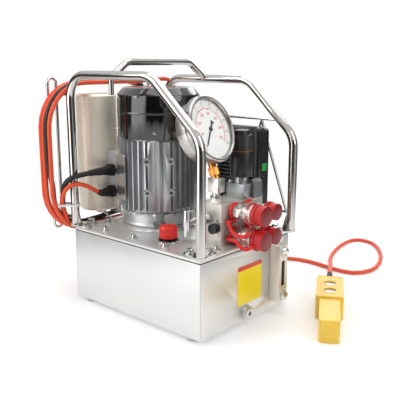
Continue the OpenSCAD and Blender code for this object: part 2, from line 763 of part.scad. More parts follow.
module motor_rotor() {
    color([0.5, 0.52, 0.55]) translate([motor_x, motor_y, 0]) {
        translate([0, 0, shaft_bottom]) cylinder(d = shaft_d, h = fan_z + fan_h - shaft_bottom);
        translate([0, 0, core_z]) cylinder(d = stator_bore - 2 * air_gap, h = core_l);
        translate([0, 0, core_z - 8]) cylinder(d = stator_bore - 14, h = core_l + 16);
    }
}

module cooling_fan() {
    color([0.12, 0.12, 0.12]) translate([motor_x, motor_y, fan_z]) difference() {
        union() {
            cylinder(d = shaft_d + 14, h = fan_h);
            cylinder(d = fan_d * 0.75, h = 3);
            for (i = [0 : 7]) rotate([0, 0, 45 * i]) translate([0, -1.2, 0])
                cube([fan_d / 2, 2.4, fan_h - 2]);
        }
        translate([0, 0, -1]) cylinder(d = shaft_d + 2 * seat_gap, h = fan_h + 2);
    }
}

module fan_cover() {
    r = cover_d / 2;
    t = 1.5;
    top = cover_h;
    color([0.05, 0.05, 0.06]) translate([motor_x, motor_y, housing_top]) difference() {
        rotate_extrude() polygon([[r - t, -6], [r, -6], [r, top - 13], [r - 12, top],
            [0, top], [0, top - 2], [r - 12.6, top - 2], [r - t, top - 14]]);
        for (i = [0 : 23]) rotate([0, 0, 15 * i]) {
            translate([22, -1.6, top - 4]) cube([14, 3.2, 8]);
            translate([40, -2.2, top - 4]) cube([14, 4.4, 8]);
        }
    }
}

module terminal_box() {
    color([0.8, 0.8, 0.79]) difference() {
        translate([box_x0, box_y0, box_z0])
            cube([box_x1 - box_x0, box_y1 - box_y0, box_z1 - box_z0]);
        translate([box_x0 - 1, box_y0 + box_wall, box_z0 + box_wall])
            cube([18, box_y1 - box_y0 - 2 * box_wall, box_z1 - box_z0 - 2 * box_wall]);
        translate([motor_x, motor_y, box_z0 - 1])
            cylinder(d = housing_d + 2 * seat_gap, h = box_z1 - box_z0 + 2);
        for (z = [gland_z0, gland_z1]) translate([gland_x, box_y0 - 1, z]) rotate([-90, 0, 0])
            cylinder(d = gland_thread + 2 * seat_gap, h = 6);
    }
}

module terminal_lid() {
    color([0.7, 0.7, 0.7]) difference() {
        translate([box_x0 - lid_t, box_y0, box_z0])
            cube([lid_t, box_y1 - box_y0, box_z1 - box_z0]);
        translate([box_x0 - 1.5, box_y0 + 4, box_z0 + 4])
            cube([3, box_y1 - box_y0 - 8, box_z1 - box_z0 - 8]);
    }
}

module cable_glands() {
    color([0.06, 0.06, 0.06]) for (z = [gland_z0, gland_z1])
        translate([gland_x, box_y0, z]) rotate([90, 0, 0]) {
            translate([0, 0, -6]) cylinder(d = gland_thread, h = 6);
            hex_head(22, 9);
            translate([0, 0, 9]) cylinder(d = 20, h = 3);
            translate([0, 0, 12]) cylinder(d1 = 20, d2 = 13, h = gland_l - 12);
        }
}

module capacitor_can() {
    color([0.86, 0.8, 0.68]) translate([can_x, can_y, can_z0]) {
        rotate_extrude() polygon([[0, -shelf_t - 8], [stud_d / 2, -shelf_t - 8], [stud_d / 2, 0],
            [can_d / 2 - 3, 0], [can_d / 2, 3], [can_d / 2, can_z1 - can_z0 - 4],
            [can_d / 2 - 4, can_z1 - can_z0], [0, can_z1 - can_z0]]);
        translate([0, 0, -shelf_t - 6]) hex_head(13, 6);
    }
}

// flat bar from the top plate with a shelf that the can is bolted to
module capacitor_bracket() {
    foot_l = bar_foot[0] + 11 - (can_x - 15);
    color([0.8, 0.8, 0.79]) difference() {
        union() {
            translate([can_x - 15, bar_y, plate_top]) cube([foot_l, 27, pad_t]);
            translate([can_x - 15, bar_y, plate_top]) cube([30, 5, 160]);
            translate([can_x - 15, can_y - 18, can_z0 - shelf_t])
                cube([30, bar_y + 1 - can_y + 18, shelf_t]);
        }
        translate([can_x, can_y, plate_top + 1]) cylinder(d = stud_d + 2 * seat_gap, h = 30);
        translate([bar_foot[0], bar_foot[1], plate_top - 1]) cylinder(d = bolt_d + 0.4, h = 10);
    }
}

module pump_body() {
    color([0.5, 0.5, 0.52]) translate([motor_x, motor_y, 0]) difference() {
        union() {
            translate([0, 0, pump_top - pump_flange_t]) cylinder(d = pump_d + 24, h = pump_flange_t);
            translate([0, 0, pump_top - pump_h]) cylinder(d = pump_d, h = pump_h);
            translate([0, 0, pump_top - pump_h - 30]) cylinder(d = 66, h = 30);
        }
        translate([0, 0, pump_top - 30]) cylinder(d = 44, h = 31);
        translate([0, 0, shaft_bottom - 5]) cylinder(d = shaft_d + 2 * run_fit, h = 40);
    }
}

// ---------- filler ----------

module filler_neck() {
    color([0.8, 0.8, 0.8]) translate([filler_at[0], filler_at[1], 0]) difference() {
        union() {
            translate([0, 0, plate_top - 30]) cylinder(d = filler_bore, h = 30);
            translate([0, 0, plate_top]) cylinder(d = 40, h = 3);
            translate([0, 0, plate_top + 3]) cylinder(d = 34, h = 5);
        }
        translate([0, 0, plate_top - 31]) cylinder(d = 24, h = 50);
    }
}

module filler_cap() {
    color([0.85, 0.15, 0.12]) translate([filler_at[0], filler_at[1], plate_top + 8 + face_gap]) {
        cylinder(d = 31, h = 18);
        translate([0, 0, 18]) cylinder(d1 = 31, d2 = 27, h = 3);
        translate([0, 0, -10]) cylinder(d = 24 - 2 * slide_fit, h = 10);
    }
}

// ---------- manifold and couplers ----------

module manifold() {
    color([0.72, 0.7, 0.67]) difference() {
        union() {
            translate([man_x0, man_y0, plate_top]) cube([manifold_l, manifold_w, manifold_h]);
            for (p = port_pts) translate([p[0], p[1], plate_top - 60]) cylinder(d = 10, h = 61);
        }
        for (y = [supply_y, return_y], z = [coupler_z0, coupler_z1])
            translate([man_x1 - 18, y, z]) rotate([0, 90, 0])
                cylinder(d = coupler_thread + 2 * seat_gap, h = 20);
        translate([relief_x, man_y0 + 26, relief_z]) rotate([90, 0, 0])
            cylinder(d = relief_d + 2 * seat_gap, h = 30);
        translate([knob_x, man_y0 + 20, knob_z]) rotate([90, 0, 0])
            cylinder(d = knob_stem_d + 2 * run_fit, h = 30);
        translate([knob_x + 1, man_y0 + 8, knob_z + 12]) rotate([90, 0, 0])
            cylinder(d = 4, h = 10);
        translate([block_x, block_y, man_top - 14])
            cylinder(d = fitting_thread + 2 * seat_gap, h = 20);
    }
}

module relief_valve() {
    color([0.66, 0.66, 0.66]) translate([relief_x, man_y0, relief_z]) rotate([90, 0, 0])
        difference() {
            union() {
                translate([0, 0, -24]) cylinder(d = relief_d, h = 24);
                cylinder(d = 22, h = 10);
                translate([0, 0, 10]) hex_head(19, 8);
                translate([0, 0, 18]) cylinder(d = 14, h = 16);
            }
            translate([0, 0, 4]) cylinder(d = tee_stem_d + 2 * run_fit, h = 40);
        }
}

module tee_handle() {
    color([0.86, 0.86, 0.87]) {
        translate([relief_x, man_y0 - 12, relief_z]) rotate([90, 0, 0])
            cylinder(d = tee_stem_d, h = man_y0 - 12 - tee_y);
        translate([relief_x, tee_y, relief_z - tee_l / 2]) cylinder(d = tee_d, h = tee_l);
    }
}

module bleed_knob() {
    color([0.05, 0.05, 0.05]) translate([knob_x, man_y0, knob_z]) rotate([90, 0, 0]) {
        translate([0, 0, -14]) cylinder(d = knob_stem_d, h = 20);
        translate([0, 0, 2]) cylinder(d = knob_d, h = 11);
    }
}

module coupler_bodies() {
    color([0.78, 0.77, 0.74]) for (z = [coupler_z0, coupler_z1]) {
        translate([man_x1, supply_y, z]) rotate([0, 90, 0]) difference() {
            union() {
                translate([0, 0, -14]) cylinder(d = coupler_thread, h = 14);
                cylinder(d = neck_d, h = collar_x);
                translate([0, 0, 12]) hex_head(neck_d + 1, 10);
                translate([0, 0, collar_x]) cylinder(d = collar_d, h = coupler_l - collar_x);
            }
            translate([0, 0, coupler_l - 22]) cylinder(d = supply_bore, h = 24);
        }
        translate([man_x1, return_y, z]) rotate([0, 90, 0]) difference() {
            union() {
                translate([0, 0, -14]) cylinder(d = coupler_thread, h = 14);
                cylinder(d = neck_d - 2, h = 30);
                translate([0, 0, 12]) hex_head(neck_d - 1, 10);
                cylinder(d = nipple_d, h = nipple_l);
            }
            translate([0, 0, nipple_l - 20]) cylinder(d = 8, h = 22);
        }
    }
}

// plug cap for a female coupler
module supply_cap(z) {
    color([0.75, 0.1, 0.1]) translate([man_x1 + coupler_l + face_gap, supply_y, z])
        rotate([0, 90, 0]) {
            translate([0, 0, -12]) cylinder(d = supply_bore - 2 * slide_fit, h = 12);
            cylinder(d = supply_cap_d, h = cap_grip);
            translate([0, 0, cap_grip]) cylinder(d = supply_cap_d - 3, h = cap_l - cap_grip);
        }
}

// cup cap for a male nipple
module return_cap(z) {
    deep = 14;
    color([0.75, 0.1, 0.1]) translate([man_x1 + nipple_l - deep, return_y, z])
        rotate([0, 90, 0]) difference() {
            union() {
                cylinder(d = return_cap_d, h = 6);
                cylinder(d = return_cap_d - 2, h = deep + face_gap + 7);
            }
            translate([0, 0, -1]) cylinder(d = nipple_d + 2 * slide_fit, h = deep + face_gap + 1);
        }
}

module supply_cap_upper() { supply_cap(coupler_z1); }
module supply_cap_lower() { supply_cap(coupler_z0); }
module return_cap_upper() { return_cap(coupler_z1); }
module return_cap_lower() { return_cap(coupler_z0); }

// ring around a coupler's neck with a band that runs out beside the cap in a hanging loop:
// centre of the loop at loop_x and z + loop_z, radius loop_r
strap_t = 3;
strap_w = 6;

module strap(y, z, neck, band_y, loop_x, loop_z, loop_r, a0) {
    ring_x = man_x1 + 4;
    bar_z = z + loop_z + (loop_r) * sin(a0);
    bar_end = loop_x + loop_r * cos(a0) + 2;
    translate([ring_x, y, z]) rotate([0, 90, 0]) difference() {
        cylinder(d = neck + 6, h = 5);
        translate([0, 0, -1]) cylinder(d = neck + 2 * seat_gap, h = 7);
    }
    translate([ring_x, min(y, band_y) - strap_t / 2, bar_z - strap_w / 2])
        difference() {
            cube([5, abs(y - band_y) + strap_t, strap_w]);
            translate([-1, y - min(y, band_y) + strap_t / 2, z - bar_z + strap_w / 2])
                rotate([0, 90, 0]) cylinder(d = neck + 3, h = 7);
        }
    translate([ring_x, band_y - strap_t / 2, bar_z - strap_w / 2])
        cube([bar_end - ring_x, strap_t, strap_w]);
    translate([loop_x, band_y + strap_t / 2, z + loop_z]) rotate([90, 0, 0]) rotate([0, 0, a0])
        rotate_extrude(angle = 325 - a0) translate([loop_r - strap_w / 2, 0])
            square([strap_w, strap_t]);
}

module cap_straps() {
    supply_band_y = supply_y - supply_cap_d / 2 - 2.5;
    return_band_y = return_y - return_cap_d / 2 - 3.4;
    color([0.8, 0.1, 0.1]) {
        strap(supply_y, coupler_z1, neck_d, supply_band_y, man_x1 + 33, -13, 24, 190);
        strap(return_y, coupler_z1, neck_d - 2, return_band_y, man_x1 + 33, -13, 22, 190);
        for (p = [[supply_y, neck_d, supply_band_y], [return_y, neck_d - 2, return_band_y]])
            strap(p[0], coupler_z0, p[1], p[2], man_x1 + 44, 5, 19, 205);
    }
}

// ---------- pressure gauge ----------

// turns a gauge part so that its axis runs out of the dial and its +X points down the dial
module gauge_place() {
    translate(gauge_c) rotate([0, 0, gauge_turn]) rotate([0, 90 - gauge_tilt, 0]) children();
}

module gauge_stem() {
    color([0.75, 0.6, 0.35]) {
        translate([block_x, block_y, man_top - 12]) cylinder(d = fitting_thread, h = 12);
        translate([block_x, block_y, man_top]) hex_head(20, 14);
        translate([block_x, block_y, man_top + 14]) cylinder(d = 14, h = block_z - man_top - 14);
        difference() {
            union() {
                translate([block_x - 11, block_y - 10, block_z - 12]) cube([22, 20, 25]);
                gauge_place() translate([0, 0, -stem_depth]) rotate([0, 90, 0]) {
                    cylinder(d = 13, h = 84);
                    translate([0, 0, 62]) hex_head(17, 14);
                }
            }
            gauge_place() translate([0, 0, -gauge_depth - 1])
                cylinder(d = case_d + 2 * seat_gap, h = gauge_depth + 2);
        }
    }
}

module gauge_case() {
    color([0.82, 0.82, 0.82]) gauge_place() difference() {
        translate([0, 0, -gauge_depth]) cylinder(d = case_d, h = gauge_depth - 5.5);
        translate([0, 0, -9]) cylinder(d = case_d - 7.2, h = 5);
        translate([0, 0, -gauge_depth + 3]) cylinder(d = case_d - 12, h = gauge_depth);
    }
}

module gauge_bezel() {
    r = bezel_d / 2;
    seat = case_d / 2 + seat_gap;
    color([0.88, 0.88, 0.88]) gauge_place() rotate_extrude()
        polygon([[seat, -16], [r - 2, -16], [r, -14], [r, -3], [r - 3, 0], [r - 6, 0],
            [case_d / 2 - 3, -4], [seat, -4]]);
}

module gauge_dial() {
    color([0.97, 0.97, 0.96]) gauge_place() translate([0, 0, -9]) difference() {
        cylinder(d = case_d - 7.2 - 2 * seat_gap, h = 1);
        translate([0, 0, -1]) cylinder(d = pointer_d + 2 * run_fit, h = 3);
    }
}

module gauge_pointer() {
    color([0.05, 0.05, 0.05]) gauge_place() rotate([0, 0, -pointer_rest]) {
        translate([0, 0, -16]) cylinder(d = pointer_d, h = 9);
        translate([0, 0, -7.6]) cylinder(d = 8, h = 1.6);
        translate([0, 0, -7.6]) linear_extrude(1)
            polygon([[-16, -4.5], [-10, -1.5], [34, -0.8], [34, 0.8], [-10, 1.5], [-16, 4.5]]);
    }
}

module gauge_glass() {
    color([0.9, 0.95, 1, 0.4]) gauge_place() translate([0, 0, -5.4])
        cylinder(d = case_d - 0.2, h = 1.4);
}

// ---------- directional valve ----------

module valve_body() {
    color([0.6, 0.62, 0.64]) {
        translate([man_x1 - valve_l, valve_y0, man_top]) cube([valve_l, valve_w, valve_h]);
        translate([sol_x, sol_y, man_top + valve_h]) cylinder(d = 26, h = valve_neck);
        for (x = [-15, 15], y = [-12, 27]) translate([sol_x + x, sol_y + y, man_top + valve_h])
            socket_screw(5, 1);
    }
}

module solenoid_coil() {
    color([0.06, 0.05, 0.05]) translate([sol_x, sol_y, man_top + valve_h + valve_neck]) {
        cylinder(d = sol_d, h = 46);
        translate([0, 0, 46]) cylinder(d = sol_d - 1, h = 28);
        translate([0, 0, 74]) cylinder(d = 27, h = 8);
    }
}

// plug on the valve's coupler side, with a sloping top
module valve_connector() {
    color([0.5, 0.51, 0.52]) translate([man_x1, sol_y + 28, man_top]) rotate([90, 0, 0])
        linear_extrude(24) polygon([[0, 0], [6, 0], [6, 27], [0, 34]]);
}

// ---------- oil cooler ----------

// finned core with a light frame on its front, above the valve
module cooler_core() {
    x0 = cool_x0 + cool_wall + seat_gap;
    x1 = cool_x1 - cool_wall - seat_gap;
    frame_z = man_top + 30;
    color([0.75, 0.76, 0.76]) difference() {
        union() {
            translate([x0, cool_y0 + 0.5, cool_z0 + 4])
                cube([x1 - x0, 16, cool_z1 - cool_z0 - 5]);
            translate([cool_x0 + 6, cool_y0 - 5, frame_z])
                cube([cool_x1 - cool_x0 - 10, 6, cool_z1 + 3 - frame_z]);
        }
        translate([cool_x0 + 12, cool_y0 - 6, frame_z + 6])
            cube([cool_x1 - cool_x0 - 22, 6.5, cool_z1 - 9 - frame_z]);
        for (z = [cool_z0 + 14 : 7 : cool_z1 - 14])
            translate([x0 + 6, cool_y0 - 6, z]) cube([x1 - x0 - 12, 19, 4.5]);
    }
}

module cooler_shroud() {
    w = cool_x1 - cool_x0;
    y = cool_y0 + 2;
    depth = cool_y1 - y;
    color([0.07, 0.07, 0.08]) {
        difference() {
            union() {
                translate([cool_x0, y, plate_top])
                    cube([w, depth, cool_z1 - plate_top - cool_corner]);
                translate([cool_x0 + cool_corner, y, plate_top])
                    cube([w - 2 * cool_corner, depth, cool_z1 - plate_top]);
                for (x = [cool_x0 + cool_corner, cool_x1 - cool_corner])
                    translate([x, y, cool_z1 - cool_corner]) rotate([-90, 0, 0])
                        cylinder(r = cool_corner, h = depth);
            }
            translate([cool_x0 + cool_wall, cool_y0 - 1, cool_z0 + 4 - seat_gap])
                cube([w - 2 * cool_wall, 18, cool_z1 - cool_z0 - 5 + 2 * seat_gap]);
            translate([cool_fan_x, cool_y0 + 10, cool_fan_z]) rotate([-90, 0, 0])
                cylinder(d = cooler_fan_d + 4, h = 60);
            translate([cool_x0 + cool_wall, cool_y0 + 16, cool_z0 + 4])
                cube([w - 2 * cool_wall, 13, 80]);
        }
        translate([cool_fan_x, cool_y1, cool_fan_z]) rotate([90, 0, 0]) {
            cylinder(d = cool_hub_d, h = 4);
            cylinder(d = cool_shaft_d, h = 14);
            for (a = [0 : 90 : 270]) rotate([0, 0, a + 45]) translate([0, -2.5, 0])
                cube([cooler_fan_d / 2 + 3, 5, 3]);
        }
    }
}

module cooler_fan() {
    color([0.12, 0.12, 0.13]) translate([cool_fan_x, cool_y1 - 5, cool_fan_z])
        rotate([90, 0, 0]) difference() {
            union() {
                cylinder(d = cool_hub_d, h = 10);
                for (i = [0 : 6]) rotate([0, 0, 360 / 7 * i]) translate([12, 0, 5])
                    rotate([32, 0, 0]) translate([0, -8, -0.8])
                        cube([cooler_fan_d / 2 - 13, 16, 1.6]);
            }
            translate([0, 0, -1]) cylinder(d = cool_shaft_d + 2 * run_fit, h = 12);
        }
}

// ---------- pendant ----------

module pendant_place() {
    translate(pendant_at) rotate([0, 0, pendant_turn]) children();
}

module pendant_shell() {
    t = pendant_t;
    color([0.95, 0.78, 0.25]) pendant_place() difference() {
        union() {
            translate([head_l / 2, 0, 0]) slab(head_l, head_w, head_h, 5);
            translate([head_l + grip_l / 2 - 8, 0, 0]) slab(grip_l + 16, grip_w, grip_h, 9);
        }
        translate([t, -head_w / 2 + t, t]) cube([head_l - 2 * t, head_w - 2 * t, head_h - 2 * t]);
        translate([head_l - t - 1, -grip_w / 2 + t, t])
            cube([grip_l - 8, grip_w - 2 * t, grip_h - 2 * t]);
        for (i = [0, 1]) translate([button_x + i * button_pitch, 0, head_h - 10])
            cylinder(d = button_d + 2 * slide_fit, h = 20);
        translate([-1, 0, boot_z]) rotate([0, 90, 0]) cylinder(d = 8 + 2 * seat_gap, h = 8);
    }
}

module pendant_boot() {
    color([0.08, 0.08, 0.08]) pendant_place() translate([0, 0, boot_z]) rotate([0, -90, 0]) {
        translate([0, 0, -6]) cylinder(d = 8, h = 6);
        cylinder(d1 = 13, d2 = remote_d + 2, h = boot_l);
    }
}

module push_button(i) {
    flange = 3;
    flange_z = head_h - pendant_t - face_gap - flange;
    color([0.92, 0.92, 0.92]) pendant_place() translate([button_x + i * button_pitch, 0, 0]) {
        translate([0, 0, flange_z]) cylinder(d = button_d + 2 * button_lip, h = flange);
        translate([0, 0, flange_z]) cylinder(d = button_d, h = head_h - button_recess - flange_z);
    }
}

module run_button() { push_button(0); }
module release_button() { push_button(1); }

// ---------- cables ----------

// one or more cable turns side by side, as their closed outer shape
module coil_ring(x, width, thick) {
    translate([x - width / 2, coil_y, coil_z]) rotate([90, 0, 90]) linear_extrude(width)
        difference() {
            rounded(coil_w + thick, coil_h + thick, coil_r + thick / 2);
            rounded(coil_w - thick, coil_h - thick, coil_r - thick / 2);
        }
}

module remote_coil() {
    color([0.91, 0.35, 0.18]) {
        coil_ring(ring_a_x, 2 * remote_d - coil_gap, remote_d);
        coil_ring(ring_c_x, remote_d, remote_d);
    }
}

module mains_coil() {
    color([0.06, 0.06, 0.06]) coil_ring(ring_b_x, mains_d - coil_gap, mains_d);
}

module remote_lead() {
    color([0.91, 0.35, 0.18]) cable(remote_lead_route, remote_d, 1);
}

module remote_run() {
    color([0.91, 0.35, 0.18]) cable(remote_run_route, remote_d, 2);
}

module mains_lead() {
    color([0.06, 0.06, 0.06]) {
        cable(mains_lead_route, mains_d, 1);
        cable(mains_tail_route, mains_d, 1);
    }
}

module mains_plug() {
    color([0.06, 0.06, 0.06]) translate(plug_at) {
        translate([0, 0, -14]) cylinder(d = 16, h = 14);
        translate([0, 0, -52]) cylinder(d = 36, h = 38);
        for (s = [-1, 1]) translate([0, s * 9.5, -71]) cylinder(d = 4.8, h = 19);
    }
}

tank();
rubber_feet();
lid_gasket();
top_plate();
fasteners();
drain_plug();
level_guard();
level_tube();
front_hoop();
rear_hoop();
carry_handle();
cable_rack();
guard_wires();
motor_housing();
motor_stator();
drive_end_shield();
motor_bearings();
motor_rotor();
cooling_fan();
fan_cover();
terminal_box();
terminal_lid();
cable_glands();
capacitor_can();
capacitor_bracket();
filler_neck();
filler_cap();
manifold();
relief_valve();
tee_handle();
bleed_knob();
gauge_stem();
gauge_case();
gauge_bezel();
gauge_dial();
gauge_pointer();
gauge_glass();
valve_body();
solenoid_coil();
valve_connector();
cooler_core();
cooler_shroud();
cooler_fan();
coupler_bodies();
supply_cap_upper();
supply_cap_lower();
return_cap_upper();
return_cap_lower();
cap_straps();
pump_body();
pendant_shell();
pendant_boot();
run_button();
release_button();
remote_lead();
remote_coil();
remote_run();
mains_lead();
mains_coil();
mains_plug();
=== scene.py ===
import math

import bmesh
import bpy
from mathutils import Matrix, Vector


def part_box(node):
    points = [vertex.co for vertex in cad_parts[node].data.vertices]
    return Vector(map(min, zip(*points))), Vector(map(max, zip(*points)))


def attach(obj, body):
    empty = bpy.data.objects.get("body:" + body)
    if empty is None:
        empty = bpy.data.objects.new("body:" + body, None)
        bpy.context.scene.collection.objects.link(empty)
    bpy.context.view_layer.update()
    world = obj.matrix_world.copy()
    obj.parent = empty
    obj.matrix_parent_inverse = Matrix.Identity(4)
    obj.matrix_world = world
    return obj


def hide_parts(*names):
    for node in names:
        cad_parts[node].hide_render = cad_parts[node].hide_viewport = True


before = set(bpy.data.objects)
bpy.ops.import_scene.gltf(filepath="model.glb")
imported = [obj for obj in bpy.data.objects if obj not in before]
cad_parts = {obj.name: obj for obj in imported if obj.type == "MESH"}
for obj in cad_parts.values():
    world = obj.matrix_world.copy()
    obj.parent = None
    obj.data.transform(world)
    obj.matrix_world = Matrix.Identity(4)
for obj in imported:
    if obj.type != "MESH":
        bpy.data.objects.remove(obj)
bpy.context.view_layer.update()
scene = bpy.context.scene

# ---------------------------------------------------------------- studio
# A pale floor under soft lamps. The background is white for the camera; reflections also find darker
# flags round the set and above it, so that polished tube shows the dark lines it has in a studio.
EYE = (0.77946, -0.82276, 0.4550)
LENS = 55.55
PITCH, HEADING = 90 - 12.674, 41.584
FADE = (0.55, 1.5)  # the floor turns to plain white between these distances, in metres
LIFT, GLOW = 0.16, 0.31  # light added to the near floor, for every view and towards +X in reflections
GLOW_X = (-0.4, 0.4)  # the added reflected light grows from nothing to GLOW between these
AMBIENT = 0.42  # strength of the white surroundings as a light
UNDER_FEET = 0.0004  # gap between the feet and the floor

lens = bpy.data.cameras.new("camera")
lens.lens, lens.sensor_width = LENS, 36.0
lens.clip_start, lens.clip_end = 0.05, 30.0
camera = bpy.data.objects.new("camera", lens)
camera.location = EYE
camera.rotation_euler = (math.radians(PITCH), 0, math.radians(HEADING))
scene.collection.objects.link(camera)
scene.camera = camera
scene.view_settings.view_transform = "Standard"


def lamp(name, place, aim, size, power):
    """A soft box of a width and a height in metres and a power in watts."""
    light = bpy.data.lights.new(name, "AREA")
    light.shape, light.size, light.size_y, light.energy = "RECTANGLE", size[0], size[1], power
    holder = bpy.data.objects.new(name, light)
    holder.location = place
    away = Vector(aim) - Vector(place)
    holder.rotation_euler = away.to_track_quat("-Z", "Y").to_euler()
    scene.collection.objects.link(holder)


lamp("lamp_front_left", (-0.9, -1.5, 1.2), (-0.1, 0, 0.2), (1.2, 1.2), 17)
lamp("lamp_right", (1.7, 0.1, 1.1), (0.1, 0, 0.2), (0.9, 1.3), 9)
lamp("lamp_top", (0.0, 0.2, 1.9), (0, 0, 0.2), (1.6, 1.6), 15)
lamp("lamp_back", (-0.6, 1.7, 1.2), (0, 0, 0.2), (1.4, 0.9), 11)


def link(tree, a, b):
    tree.links.new(a, b)


def maths(tree, operation, a, b=None):
    """A Math node; a and b are sockets or numbers."""
    node = tree.nodes.new("ShaderNodeMath")
    node.operation = operation
    for socket, value in zip(node.inputs, (a, b)):
        if value is None:
            continue
        if isinstance(value, (int, float)):
            socket.default_value = value
        else:
            tree.links.new(value, socket)
    return node.outputs[0]


def shader_group(name, inputs, outputs):
    """A new node group, with its input and output nodes."""
    made = bpy.data.node_groups.new(name, "ShaderNodeTree")
    for label, kind, value in inputs:
        socket = made.interface.new_socket(label, in_out="INPUT", socket_type=kind)
        socket.default_value = value
    for label, kind in outputs:
        made.interface.new_socket(label, in_out="OUTPUT", socket_type=kind)
    return made, made.nodes.new("NodeGroupInput"), made.nodes.new("NodeGroupOutput")


def ramp(tree, source, stops):
    """A grey ramp driven by a socket; stops are (place, grey)."""
    node = tree.nodes.new("ShaderNodeValToRGB")
    node.color_ramp.interpolation = "EASE"
    ends = node.color_ramp.elements
    ends[0].position, ends[1].position = stops[0][0], stops[-1][0]
    for place, grey in stops[1:-1]:
        ends.new(place)
    for stop, (place, grey) in zip(ends, stops):
        stop.color = (grey, grey, grey, 1)
    tree.links.new(source, node.inputs[0])
    return node.outputs[0]


WINDOW = 2.8  # brightness of the tall soft box that the gloss black fan cover shows
# the grey that a reflection finds level with the set, by the compass direction of a vector
flags, given, result = shader_group(
    "studio_flags", [("Vector", "NodeSocketVector", (0, 0, 1))], [("Grey", "NodeSocketFloat")])
split = flags.nodes.new("ShaderNodeSeparateXYZ")
link(flags, given.outputs[0], split.inputs[0])
turn = maths(flags, "ARCTAN2", split.outputs["Y"], split.outputs["X"])
turn = maths(flags, "ADD", maths(flags, "DIVIDE", turn, 2 * math.pi), 0.5)
level = ramp(flags, turn, [(place, grey / WINDOW) for place, grey in (
    (0.0, 0.08), (0.10, 0.08), (0.145, 0.12), (0.155, WINDOW), (0.26, WINDOW), (0.275, 0.05),
    (0.45, 0.05), (0.475, 0.60), (0.57, 0.65), (0.60, 0.14), (0.78, 0.14), (0.84, 0.95),
    (0.90, 0.95), (0.95, 0.14), (1.0, 0.08))])
link(flags, maths(flags, "MULTIPLY", level, WINDOW), result.inputs[0])

world = bpy.data.worlds.new("studio")
scene.world = world
world.use_nodes = True
sky = world.node_tree
sky.nodes.clear()
rays = sky.nodes.new("ShaderNodeLightPath")
toward = sky.nodes.new("ShaderNodeTexCoord").outputs["Generated"]
round_set = sky.nodes.new("ShaderNodeGroup")
round_set.node_tree = flags
link(sky, toward, round_set.inputs[0])
split = sky.nodes.new("ShaderNodeSeparateXYZ")
link(sky, toward, split.inputs[0])
above = ramp(sky, split.outputs["Z"], (
    (0.0, 0.75), (0.50, 0.75), (0.60, 1.0), (0.84, 1.0), (0.90, 0.5), (1.0, 0.5)))
raised = ramp(sky, split.outputs["Z"], ((0.22, 0.0), (0.30, 1.0)))
reflected = sky.nodes.new("ShaderNodeMix")
link(sky, raised, reflected.inputs[0])
link(sky, round_set.outputs[0], reflected.inputs[2])
link(sky, above, reflected.inputs[3])
flagged = sky.nodes.new("ShaderNodeBackground")
link(sky, reflected.outputs[0], flagged.inputs["Color"])
plain = sky.nodes.new("ShaderNodeBackground")
plain.inputs["Color"].default_value = (1, 1, 1, 1)
plain.inputs["Strength"].default_value = AMBIENT
white = sky.nodes.new("ShaderNodeBackground")
white.inputs["Color"].default_value = (1, 1, 1, 1)
seen = maths(sky, "MAXIMUM", rays.outputs["Is Camera Ray"], rays.outputs["Is Transmission Ray"])
mixed = sky.nodes.new("ShaderNodeMixShader")
link(sky, rays.outputs["Is Glossy Ray"], mixed.inputs[0])
link(sky, plain.outputs[0], mixed.inputs[1])
link(sky, flagged.outputs[0], mixed.inputs[2])
both = sky.nodes.new("ShaderNodeMixShader")
link(sky, seen, both.inputs[0])
link(sky, mixed.outputs[0], both.inputs[1])
link(sky, white.outputs[0], both.inputs[2])
link(sky, both.outputs[0], sky.nodes.new("ShaderNodeOutputWorld").inputs[0])

floor_mesh = bmesh.new()
bmesh.ops.create_grid(floor_mesh, x_segments=1, y_segments=1, size=9.0)
bmesh.ops.translate(floor_mesh, verts=floor_mesh.verts, vec=(0, 0, -UNDER_FEET))
floor_data = bpy.data.meshes.new("floor")
floor_mesh.to_mesh(floor_data)
floor_mesh.free()
floor = bpy.data.objects.new("floor", floor_data)
scene.collection.objects.link(floor)
paper = bpy.data.materials.new("floor_paper")
paper.use_nodes = True
tree = paper.node_tree
coat = tree.nodes["Principled BSDF"]
coat.inputs["Base Color"].default_value = (0.9, 0.9, 0.9, 1)
coat.inputs["Roughness"].default_value = 0.9
coat.inputs["Specular IOR Level"].default_value = 0.1
rays = tree.nodes.new("ShaderNodeLightPath")
any_view = maths(tree, "MAXIMUM", rays.outputs["Is Camera Ray"], rays.outputs["Is Glossy Ray"])
any_view = maths(tree, "MAXIMUM", any_view, rays.outputs["Is Transmission Ray"])
spot = tree.nodes.new("ShaderNodeVectorMath")
spot.operation = "LENGTH"
on_floor = tree.nodes.new("ShaderNodeTexCoord").outputs["Object"]
link(tree, on_floor, spot.inputs[0])
fade = tree.nodes.new("ShaderNodeMapRange")
fade.interpolation_type = "SMOOTHSTEP"
for label, value in (("From Min", FADE[0]), ("From Max", FADE[1]), ("To Min", 0.0), ("To Max", 1.0)):
    fade.inputs[label].default_value = value
link(tree, spot.outputs["Value"], fade.inputs["Value"])
across = tree.nodes.new("ShaderNodeSeparateXYZ")
link(tree, on_floor, across.inputs[0])
brighter = tree.nodes.new("ShaderNodeMapRange")
for label, value in (("From Min", GLOW_X[0]), ("From Max", GLOW_X[1]), ("To Min", 0.0),
                     ("To Max", GLOW)):
    brighter.inputs[label].default_value = value
link(tree, across.outputs["X"], brighter.inputs["Value"])
glossy_lift = maths(tree, "MULTIPLY", rays.outputs["Is Glossy Ray"], brighter.outputs[0])
glow = tree.nodes.new("ShaderNodeEmission")
link(tree, maths(tree, "ADD", maths(tree, "MULTIPLY", any_view, LIFT), glossy_lift),
     glow.inputs["Strength"])
near = tree.nodes.new("ShaderNodeAddShader")
link(tree, coat.outputs[0], near.inputs[0])
link(tree, glow.outputs[0], near.inputs[1])
round_set = tree.nodes.new("ShaderNodeGroup")
round_set.node_tree = flags
link(tree, on_floor, round_set.inputs[0])
